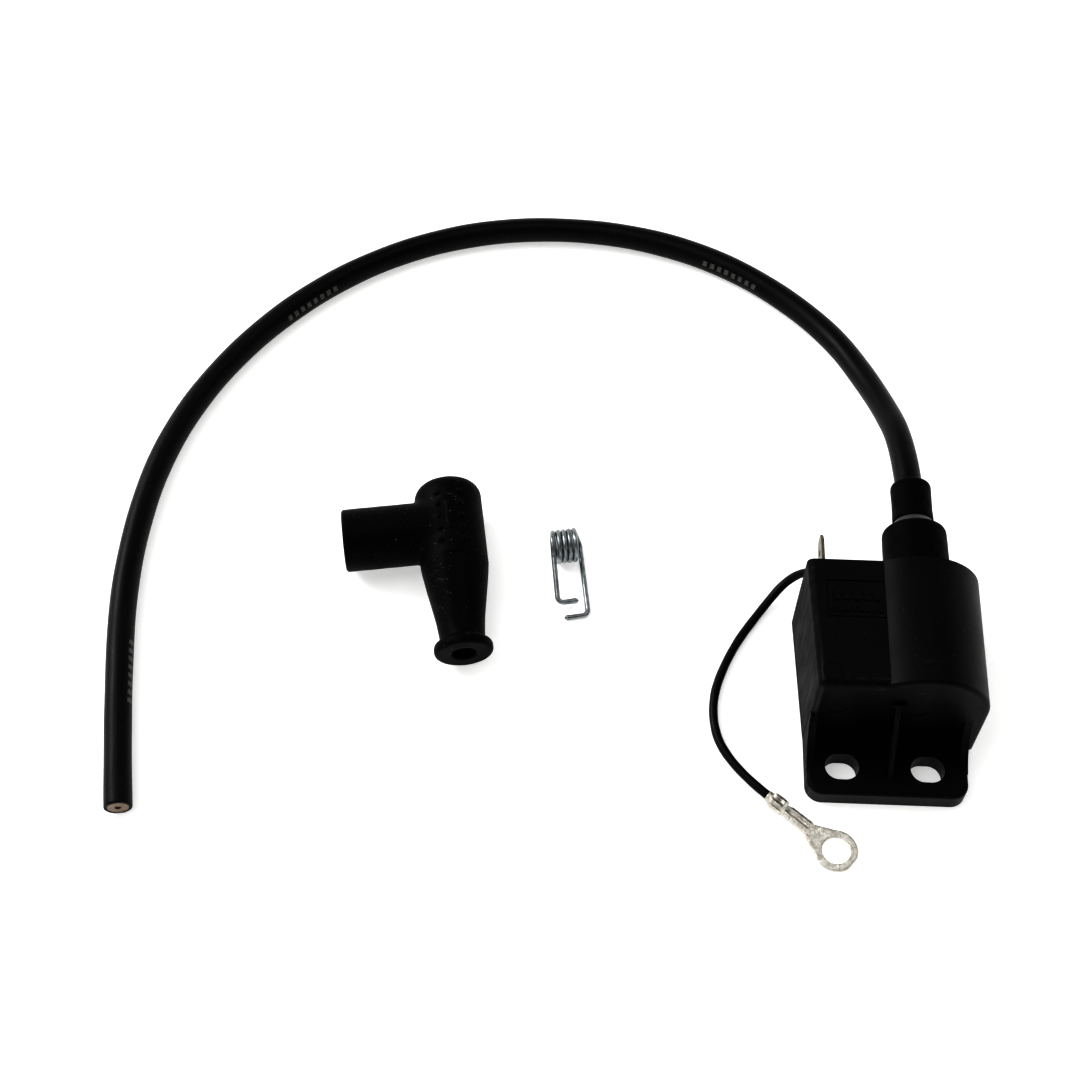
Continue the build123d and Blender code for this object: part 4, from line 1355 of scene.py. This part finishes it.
@dataclass
class GroundLead:
    """Thin PVC lead from the resin to its ring terminal.

    Attributes:
        route: Control points of the lead's line, in mm.
        diameter: Diameter over the insulation, in mm.
        strands: Diameter over the strands, in mm.
        length: The lead's real length, in mm.
        exit_y: Y of the resin's surface, where it leaves, in mm.
        strand_lay: Length of one twist of the strands, in mm.
    """

    route: list[tuple[float, float, float]] = field(
        default_factory=lambda: [
            (-13.5, 40.5, 12),
            (-13.5, 48, 12.2),
            (-17, 52.5, 11),
            (-22.3, 52.8, 5),
            (-28, 46.8, 1.2),
            (-37.2, 33, 1.2),
            (-42.6, 17.3, 1.2),
            (-39, 2.2, 1.4),
            (-28.3, -6.9, 1.9),
        ]
    )
    diameter: float = 2.3
    strands: float = 1.3
    length: float = 90.5
    exit_y: float = 41.7
    strand_lay: float = 9.0

    def insulation_skin(self, line: Line) -> Skin:
        """Glossy tube that swells a little along its length, with a stripped end.

        Args:
            line: The lead's line.

        Returns:
            A closed tube.
        """
        outer, inner, end = self.diameter / 2, self.strands / 2, line.length
        lip = [(0.1, outer - 0.02), (0.0, outer - 0.14), (0.0, inner + 0.05), (0.1, inner)]
        profile = tube_profile(end, 0.5, outer, inner, lip)
        swell = 0.02 * np.sin(profile[:, :1] / 2.7) + 0.015 * np.sin(profile[:, :1] / 0.9)
        rings = line.rings(profile[:, 0], profile[:, 1:] - 0.02 + swell, 24)
        return weave(rings, Ends.LOOP, profile[:, 0] * MM)

    def strand_skins(self, line: Line) -> list[Skin]:
        """Seven tinned strands, six wound about one.

        Args:
            line: The lead's line.

        Returns:
            One closed rod for each strand.
        """
        thick = self.strands / 6
        skins = []
        for number in range(STRANDS):
            away = 0.0 if number == 0 else 2 * thick
            strand = line.offset(away, 1 / self.strand_lay, number * math.pi / 3)
            at = np.arange(0.2, strand.length - 0.1, 0.8)
            rings = strand.rings(at, np.full(len(at), thick * 0.96), 8)
            skins.append(weave(rings, Ends.POLES, at * MM))
        return skins

    def build(self, terminal: bpy.types.Object) -> None:
        """Args:
            terminal: The ring terminal on its far end; not used.
        """
        line = smooth_line("ground_lead_line", self.route)
        strands = make_piece(
            "ground_wire_strands", self.strand_skins(line), TINNED_COPPER.build(),
            "coil", ("ground_lead_strands",),
        )
        jacket = make_piece(
            "ground_wire_insulation", [self.insulation_skin(line)], WIRE_PVC.build(),
            "coil", ("ground_lead_insulation",),
        )
        LOG.info("ground lead: line %.1f mm long", line.length)


# ---- Housing and tower --------------------------------------------------------------------


@dataclass
class Tower:
    """Rubber boot and sleeve on the high-tension tower, turned about an axis along Y.

    Attributes:
        axis_x: X of the axis, in mm.
        axis_z: Height of the axis, in mm.
        base_y: Where the boot stands on the resin, in mm.
        boot_radius: Radius of the boot at its foot, in mm.
        boot_top_y: Top of the boot, in mm.
        boot_bore: Radius of the boot's bore, in mm.
        neck_base: Radius of the neck at the boot's top, in mm.
        sleeve_y: Foot and tip of the sleeve, in mm.
        sleeve_radius: Radius of the sleeve, in mm.
        sleeve_bore: Radius of the sleeve over the lead, in mm.
    """

    axis_x: float = 8.5
    axis_z: float = 19.4
    base_y: float = 41.7
    boot_radius: float = 8.55
    boot_top_y: float = 59.6
    boot_bore: float = 6.72
    neck_base: float = 6.5
    sleeve_y: tuple[float, float] = (62.3, 73.8)
    sleeve_radius: float = 5.25
    sleeve_bore: float = 3.58

    def upright(self) -> Matrix:
        """Carry a shape turned about Z to the tower's axis, which runs along Y."""
        turn = Matrix.Rotation(-math.pi / 2, 4, "X")
        return Matrix.Translation((self.axis_x, 0.0, self.axis_z)) @ turn

    def soft(self, outline: np.ndarray, seam: float) -> Skin:
        """Turn an outline and make it rubber: slightly out of round, with two mould seams.

        Args:
            outline: Closed (radius, y) outline, in mm.
            seam: Height of the seams, in mm.

        Returns:
            The closed skin.
        """
        sides = 144
        t = np.linspace(0, 2 * np.pi, sides, endpoint=False)
        rings = turned(outline, sides)
        wide = outline[:, :1]
        ridge = seam * np.exp(-((np.cos(t) / 0.03) ** 2))
        shift = ridge + 0.035 * np.sin(2 * t + 0.7) + 0.03 * ripple(rings, 7.0, 0.4)
        shift = shift * (wide > self.sleeve_bore + 0.9)
        rings[..., :2] *= (1 + shift / wide)[..., None]
        return weave(moved(rings, self.upright()), Ends.LOOP)

    def build(self) -> None:
        """Make the boot and the sleeve."""
        rubber = EPDM_RUBBER.build()
        r, top = self.boot_radius, self.boot_top_y
        boot = rounded(
            [
                (self.boot_bore, self.base_y, 0.05),
                (r - 0.03, self.base_y, 0.35),
                (r - 0.03, self.base_y + 2.0, 0.3),
                (r - 0.18, self.base_y + 2.5, 0.3),
                (r - 0.42, top, 1.5),
                (self.neck_base + 0.02, top, 0.08),
                (self.boot_bore, top - 4.0, 0.3),
            ]
        )
        make_piece(
            "rubber_tower_boot", [self.soft(filled(boot, 0.35), 0.06)], rubber,
            "coil", ("tower_boot",),
        )
        s, (foot, tip) = self.sleeve_radius, self.sleeve_y
        sleeve = rounded(
            [
                (self.sleeve_bore + 0.65, foot, 0.05),
                (s - 0.02, foot, 0.3),
                (s - 0.02, foot + 1.5, 0.4),
                (s - 0.16, foot + 3.0, 0.8),
                (s - 0.06, tip, 1.5),
                (self.sleeve_bore, tip, 0.3),
                (self.sleeve_bore, foot + 3.7, 0.1),
                (self.sleeve_bore + 0.65, foot + 3.7, 0.1),
            ]
        )
        make_piece(
            "rubber_lead_sleeve", [self.soft(filled(sleeve, 0.3), 0.05)], rubber,
            "coil", ("lead_sleeve",),
        )


@dataclass
class PottedCoil:
    """The moulded housing and all that is cast inside it; their shapes are the CAD's own."""

    def build(self) -> None:
        """Dress every node that stays as it is."""
        dress(HOUSING_PBT.build(), "housing")
        dress(TOWER_PBT_PAINTED_SHEEN.build(), "ht_tower")
        dress(POTTING_EPOXY.build(), "potting_resin")
        dress(SHADED_DULL_TIN.build(), "spade_terminal")
        dress(TURNED_BRASS.build(), "ht_contact_spike")
        dress(CORE_STEEL.build(), "core_sheets")
        dress(BOBBIN_NYLON.build(), "primary_bobbin", "secondary_bobbin", "winding_end_cap")
        dress(PRIMARY_COPPER.build(), "primary_winding")
        dress(SECONDARY_COPPER.build(), "secondary_winding")
        dress(BOARD_LAMINATE.build(), "circuit_board")
        dress(CAPACITOR_CASE.build(), "storage_capacitor")
        dress(PACKAGE_EPOXY.build(), "thyristor", "rectifier_diodes")
        dress(RESISTOR_LACQUER.build(), "gate_resistors")
        dress(TINNED_COPPER.build(), "jumper_wires")


# ---- Plug boot ----------------------------------------------------------------------------


def blend_of(a: np.ndarray, b: np.ndarray, k: float) -> np.ndarray:
    """Union of two distance fields, melted together over about k mm."""
    h = np.maximum(k - np.abs(a - b), 0) / k
    return np.minimum(a, b) - h * h * k / 4


def rounded_rod(
    radial: np.ndarray, along: np.ndarray, radius: float, half: float, edge: float
) -> np.ndarray:
    """Distance to a rod with rounded rims.

    Args:
        radial: Distance from its axis.
        along: Distance from its middle, along the axis.
        radius: Its radius.
        half: Half its length.
        edge: Radius of its rims.

    Returns:
        Distance, negative inside.
    """
    a = radial - radius + edge
    b = np.abs(along) - half + edge
    outside = np.hypot(np.maximum(a, 0), np.maximum(b, 0))
    return outside + np.minimum(np.maximum(a, b), 0) - edge


@dataclass
class PlugBoot:
    """Right-angle rubber boot, as one implicit form melted together at its elbow.

    Its own Y runs down the tapered arm to the rim, X out through the socket, and Z to the face
    with the grip domes. Sizes are in mm.

    Attributes:
        place: The elbow's place in the frame, before its height.
        turn: How far the boot is turned as it lies, in degrees.
        radius: Radius of the head and of the arm's root.
        socket_radius: Radius of the socket.
        socket_length: Reach of the socket from the elbow.
        head_reach: Reach of the crown behind the elbow.
        crown: Rounding of the crown.
        shoulder_y: Where the arm starts to taper.
        tip_y: Where the taper ends.
        tip_radius: Radius there.
        rim_y: Middle of the rim.
        rim_radius: Radius of the rim.
        arm_length: Reach of the arm.
        lead_bore: Radius of the lead's hole.
        socket_bore: Radius of the plug's hole.
        rest_y: Where the rim rests on the floor.
        clearance: Gap under the boot.
        dome_x: Distance of each row of grip domes from the middle.
        dome_first: Y of the first domes.
        dome_pitch: Distance from dome to dome.
        dome_rows: Domes in a row.
        dome_radius: Radius of a dome.
        bar_place: X and Y of the middle of the raised bar.
        bar_half: Half the width and length of the bar's core.
        bar_radius: Rounding of the bar.
        flat_middle: Y of the middle of the arm's flat.
        flat_half: Half the flat's length.
        voxel: Step of the grid on which the form is found.
    """

    place: tuple[float, float] = (-110.2, 61.3)
    turn: float = 8.8
    radius: float = 8.8
    socket_radius: float = 8.15
    socket_length: float = 28.0
    head_reach: float = 13.2
    crown: float = 4.1
    shoulder_y: float = 10.5
    tip_y: float = 31.4
    tip_radius: float = 5.8
    rim_y: float = 34.15
    rim_radius: float = 7.55
    arm_length: float = 35.6
    lead_bore: float = 3.1
    socket_bore: float = 5.5
    rest_y: float = 33.9
    clearance: float = 0.05
    dome_x: float = 2.9
    dome_first: float = -7.1
    dome_pitch: float = 3.5
    dome_rows: int = 5
    dome_radius: float = 0.7
    bar_place: tuple[float, float] = (0.2, -0.4)
    bar_half: tuple[float, float] = (0.3, 3.6)
    bar_radius: float = 0.42
    flat_middle: float = 20.5
    flat_half: float = 10.1
    voxel: float = 0.275

    def lying(self) -> Matrix:
        """Place of the boot as it rests on its shoulder and its rim."""
        drop = self.radius - self.rim_radius - self.clearance
        droop = math.asin(drop / (self.rest_y - self.shoulder_y))
        height = self.radius + self.shoulder_y * math.sin(droop) + self.clearance
        turn = Matrix.Rotation(math.radians(180 + self.turn), 4, "Z")
        tilt = Matrix.Rotation(-droop, 4, "X")
        return Matrix.Translation((*self.place, height)) @ turn @ tilt

    def arm_radius(self, y: np.ndarray) -> np.ndarray:
        """Radius of the arm: full to the shoulder, then a nearly even taper to the tip."""
        t = np.clip((y - self.shoulder_y) / (self.tip_y - self.shoulder_y), 0, 1)
        taper = 0.6 * (1 - (1 - t) ** 1.25) + 0.4 * t * t * (3 - 2 * t)
        return self.radius - (self.radius - self.tip_radius) * taper

    def outer(self, p: np.ndarray) -> np.ndarray:
        """Distance to the outer form: crown, tapered arm, rim and socket, melted together.

        Args:
            p: Points in the boot's axes, shaped (..., 3).

        Returns:
            Distance at each point, negative inside.
        """
        x, y, z = np.moveaxis(p, -1, 0)
        around_arm = np.hypot(x, z)
        centre = self.crown - self.head_reach
        past = np.maximum(around_arm - self.radius + self.crown, 0)
        cap = np.hypot(past, y - centre) - self.crown
        side = around_arm - self.arm_radius(y)
        arm = np.where(y < centre, cap, side)
        arm = np.maximum(arm, y - self.rim_y)
        rim = rounded_rod(around_arm, y - self.rim_y, self.rim_radius, 1.45, 1.1)
        form = blend_of(arm, rim, 1.1)
        middle = self.socket_length / 2
        socket = rounded_rod(np.hypot(y, z), x - middle, self.socket_radius, middle, 0.8)
        return blend_of(form, socket, 1.5)

    def marks(self, p: np.ndarray) -> np.ndarray:
        """Distance to what stands on the face: two rows of grip domes and a bar between them.

        The domes repeat along Y, so one fold of Y about the nearest row serves all of them.

        Args:
            p: Points in the boot's axes, shaped (..., 3).

        Returns:
            Distance at each point, negative inside.
        """
        x, y, z = np.moveaxis(p, -1, 0)
        number = np.clip(np.round((y - self.dome_first) / self.dome_pitch), 0, self.dome_rows - 1)
        row = number * self.dome_pitch + self.dome_first
        base = math.sqrt(self.radius**2 - self.dome_x**2) - 0.1
        away = (np.abs(x) - self.dome_x) ** 2 + (y - row) ** 2 + (z - base) ** 2
        domes = np.sqrt(away) - self.dome_radius
        across = np.maximum(np.abs(x - self.bar_place[0]) - self.bar_half[0], 0)
        along = np.maximum(np.abs(y - self.bar_place[1]) - self.bar_half[1], 0)
        bar = np.sqrt(across**2 + along**2 + (z - self.radius + 0.2) ** 2) - self.bar_radius
        return np.minimum(domes, bar)

    def flat(self, p: np.ndarray) -> np.ndarray:
        """Distance to the slice that is taken off the arm to leave its long narrow flat.

        The slice follows the taper. Its flat is about 2.7 mm to 1.9 mm to each side.

        Args:
            p: Points in the boot's axes, shaped (..., 3).

        Returns:
            Distance at each point, negative in the slice.
        """
        y, z = p[..., 1], p[..., 2]
        radius = self.arm_radius(y)
        half_width = 2.7 - 0.045 * (y - 12.5)
        depth = half_width**2 / (2 * radius)
        return np.maximum(radius - depth - z, np.abs(y - self.flat_middle) - self.flat_half)

    def bores(self, p: np.ndarray) -> np.ndarray:
        """Distance to the empty inside: the lead's hole, the plug's hole and the elbow.

        Args:
            p: Points in the boot's axes, shaped (..., 3).

        Returns:
            Distance at each point, negative in the hollow.
        """
        x, y, z = np.moveaxis(p, -1, 0)
        ribs = 0.25 * np.exp(-(((x - 21.5) / 0.7) ** 2)) + 0.25 * np.exp(-(((x - 24.0) / 0.7) ** 2))
        lead = np.maximum(np.hypot(x, z) - self.lead_bore, -y)
        plug = np.maximum(np.hypot(y, z) - self.socket_bore + ribs, -x)
        elbow = np.sqrt(x * x + y * y + z * z) - self.socket_bore
        return np.minimum(np.minimum(lead, plug), elbow)

    def form(self, p: np.ndarray) -> np.ndarray:
        """Distance to the whole boot: the outer form with its marks, less the cuts."""
        solid = blend_of(self.outer(p), self.marks(p), 0.3)
        sliced = -blend_of(-solid, self.flat(p), 0.25)
        return -blend_of(-sliced, self.bores(p), 0.5)

    def skin(self) -> Skin:
        """The zero surface of the form, found on a grid and then drawn onto it.

        Three Newton steps move each point along the field's gradient until the field is zero.

        Returns:
            The closed skin, in the frame.
        """
        low = np.array([-self.radius, -self.head_reach, -self.radius]) - 1.2
        high = np.array([self.socket_length, self.arm_length, self.radius + 0.4]) + 1.2
        axes = [np.arange(a, b, self.voxel) for a, b in zip(low, high)]
        spots = np.stack(np.meshgrid(*axes, indexing="ij"), axis=-1)
        limit = 3 * self.voxel
        values = np.clip(self.form(spots), -limit, limit)
        grid = openvdb.FloatGrid(limit)
        grid.copyFromArray(values.astype(np.float32))
        points, quads = grid.convertToQuads(isovalue=0.0)
        points = low + points.astype(float) * self.voxel
        nudge_size = 0.02
        nudge = nudge_size * np.eye(3)
        for _ in range(3):
            slope = [self.form(points + n) - self.form(points - n) for n in nudge]
            gradient = np.stack(slope, axis=-1) / (2 * nudge_size)
            size = np.maximum((gradient**2).sum(-1, keepdims=True), 0.2)
            step = self.form(points)[:, None] * gradient / size
            points = points - np.clip(step, -0.1, 0.1)
        points = points + 0.025 * ripple(points, 6.0, 2.2)[:, None] * unit(gradient)
        corners = quads.astype(np.int64).ravel()
        uv = (points[corners][:, :2] * MM).copy()
        sizes = np.full(len(quads), 4)
        return Skin(moved(points, self.lying()), corners, sizes, uv).outward()

    def build(self) -> None:
        """Make the boot, in place of its plain node."""
        inverse = self.lying().inverted()
        # Moulded rubber of the plug boot: matte black with lint that clings to it.
        rubber = BootRubber(
            "moulded_epdm_boot", "060607", "0b0b0d", 0.56,
            level=0.12, spread=0.1, grain=0.28, depth=0.016, blotch=5, dust=0.25, scuffs=0.1,
            turn=tuple(inverse.to_euler()), shift=tuple(inverse.translation * MM),
        )
        make_piece(
            "rubber_plug_boot", [self.skin()], rubber.build(),
            "plug_boot", ("plug_boot",),
        )


# ---- Spring terminal ----------------------------------------------------------------------


@dataclass
class SpringTerminal:
    """Close-wound wire with two hooked legs, one continuous line from tip to tip.

    Its own X is the coil's axis and Y points away from the legs. Sizes are in mm.

    Attributes:
        place: The coil's middle in the frame.
        turn: How far the spring is turned as it lies, in degrees.
        wire: Thickness of the wire.
        mean: Radius of the coil, to the wire's middle.
        pitch: Distance from turn to turn.
        full_turns: Whole turns of the coil.
        wrap: How far past its top the coil's left end runs, in degrees.
        slope: How steeply the left leg comes down, in degrees.
        lean: How far the legs lean to the left of square, in degrees.
        legs: Reach of the left and right legs.
        hooks: Length of the left and right hooks.
        bend: Radius of the hooks' bends.
        point: Length of the wire's tapered tips.
        spread: How far the left and right end turns stand away from the rest.
    """

    place: tuple[float, float] = (-80.3, 60.8)
    turn: float = 11.0
    wire: float = 1.34
    mean: float = 3.9
    pitch: float = 1.4
    full_turns: int = 4
    wrap: float = 55.0
    slope: float = 18.0
    lean: float = 3.2
    legs: tuple[float, float] = (15.5, 19.2)
    hooks: tuple[float, float] = (5.0, 5.9)
    bend: float = 1.6
    point: float = 0.9
    spread: tuple[float, float] = (0.4, 0.8)

    def leg(
        self, start: np.ndarray, along: np.ndarray, reach: float, inward: float, hook: float
    ) -> np.ndarray:
        """A leg, its bend and its hook: a straight run, a quarter circle and a straight run.

        Args:
            start: Where the leg leaves the coil.
            along: Direction of the leg.
            reach: Length of the leg to the hook's line.
            inward: Sign of X that the hook points to.
            hook: Length of the hook.

        Returns:
            Points down the leg to the hook's tip.
        """
        across = np.array([inward, 0.0, 0.0])
        straight = np.linspace(0, reach - self.bend, 40)[:, None] * along
        angle = np.linspace(0, np.pi / 2, 14)[1:, None]
        corner = straight[-1] + self.bend * (np.sin(angle) * along + (1 - np.cos(angle)) * across)
        rest = corner[-1] + np.linspace(0, hook + self.point / 2 - self.bend, 16)[1:, None] * across
        return start + np.vstack([straight, corner, rest])

    def splay(self, a: np.ndarray, swept: float) -> np.ndarray:
        """How far the end turns stand away from the rest: a smooth step near each end."""
        left = np.clip((1.6 - a) / 0.7, 0, 1)
        right = np.clip((a - swept + 0.7 * math.pi) / (0.55 * math.pi), 0, 1)
        bulge = 0.3 * np.exp(-(((a - swept + 0.4) / 0.4) ** 2))
        near, far = self.spread
        return far * right**2 * (3 - 2 * right) + bulge - near * left**2 * (3 - 2 * left)

    def wire_line(self) -> Line:
        """The whole wire: left hook and leg, the coil's helix, right leg and hook.

        The helix is (pitch a / 2 pi, r cos, r sin). The left end bends back from the coil's
        slope to its leg's: a curve of radius b whose direction (-cos f, -sin f) turns from the
        wrap angle to the slope.

        Returns:
            The wire's line in the spring's own axes.
        """
        wrap, slope = math.radians(self.wrap), math.radians(self.slope)
        swept = 2 * math.pi * self.full_turns + math.pi + wrap
        half = self.pitch * swept / (4 * math.pi)
        a = np.linspace(0, swept, 400)
        outward = np.stack([0 * a, -np.sin(wrap - a), np.cos(wrap - a)], axis=1)
        coil = self.mean * outward
        coil[:, 0] = np.linspace(-half, half, len(a)) + self.splay(a, swept)
        f = np.linspace(wrap, slope, 12)[1:]
        back = np.stack([0 * f, np.sin(f) - math.sin(wrap), math.cos(wrap) - np.cos(f)], axis=1)
        back = coil[0] + self.bend * back
        lean = math.tan(math.radians(self.lean))
        down = np.array([-lean, -math.cos(slope), -math.sin(slope)])
        reach = (self.legs[0] + back[-1, 1]) / math.cos(slope)
        left = np.vstack([back, self.leg(back[-1], down, reach, 1.0, self.hooks[0])[1:]])
        level = np.array([-lean, -1.0, 0.0])
        right = self.leg(coil[-1], level, self.legs[1], -1.0, self.hooks[1])
        f = np.append(f, np.full(len(left) - len(f), slope))
        first = np.stack([0 * f, -np.sin(f), np.cos(f)], axis=1)
        last = np.repeat(outward[-1:], len(right) - 1, axis=0)
        points = np.vstack([left[::-1], coil, right[1:]])
        return Line(points, np.vstack([first[::-1], outward, last]))

    def build(self) -> None:
        """Make the spring, in place of its plain node."""
        line = self.wire_line()
        end = line.length
        tip = np.linspace(0, 1.2, 12)
        at = np.unique(np.concatenate([np.arange(0, end, 0.16), tip, end - tip]))
        near = np.minimum(at, end - at) / self.point
        pinched = np.interp(near, [0, 0.35, 0.8, 1.3, 2.0], [0.16, 0.7, 1.12, 1.1, 1.0])
        radius = self.wire / 2 * pinched
        rings = line.rings(at, radius, 22)
        height = self.mean + self.wire / 2
        turn = Matrix.Rotation(math.radians(self.turn), 4, "Z")
        rings = moved(rings, Matrix.Translation((*self.place, height)) @ turn)
        make_piece(
            "wire_spring_terminal", [weave(rings, Ends.POLES, at * MM)], ZINC_WIRE.build(),
            "spring_terminal", ("plug_spring_terminal",),
        )


# ---- Assembly -----------------------------------------------------------------------------


def main() -> None:
    """Build the studio, the cords, and then every sub-assembly."""
    logging.basicConfig(level=logging.INFO, format="%(message)s")
    Studio().build()
    HighTensionLead().build()
    terminal = RingTerminal().build()
    GroundLead().build(terminal)
    PottedCoil().build()
    Tower().build()
    PlugBoot().build()
    SpringTerminal().build()


if __name__ == "__main__":
    main()
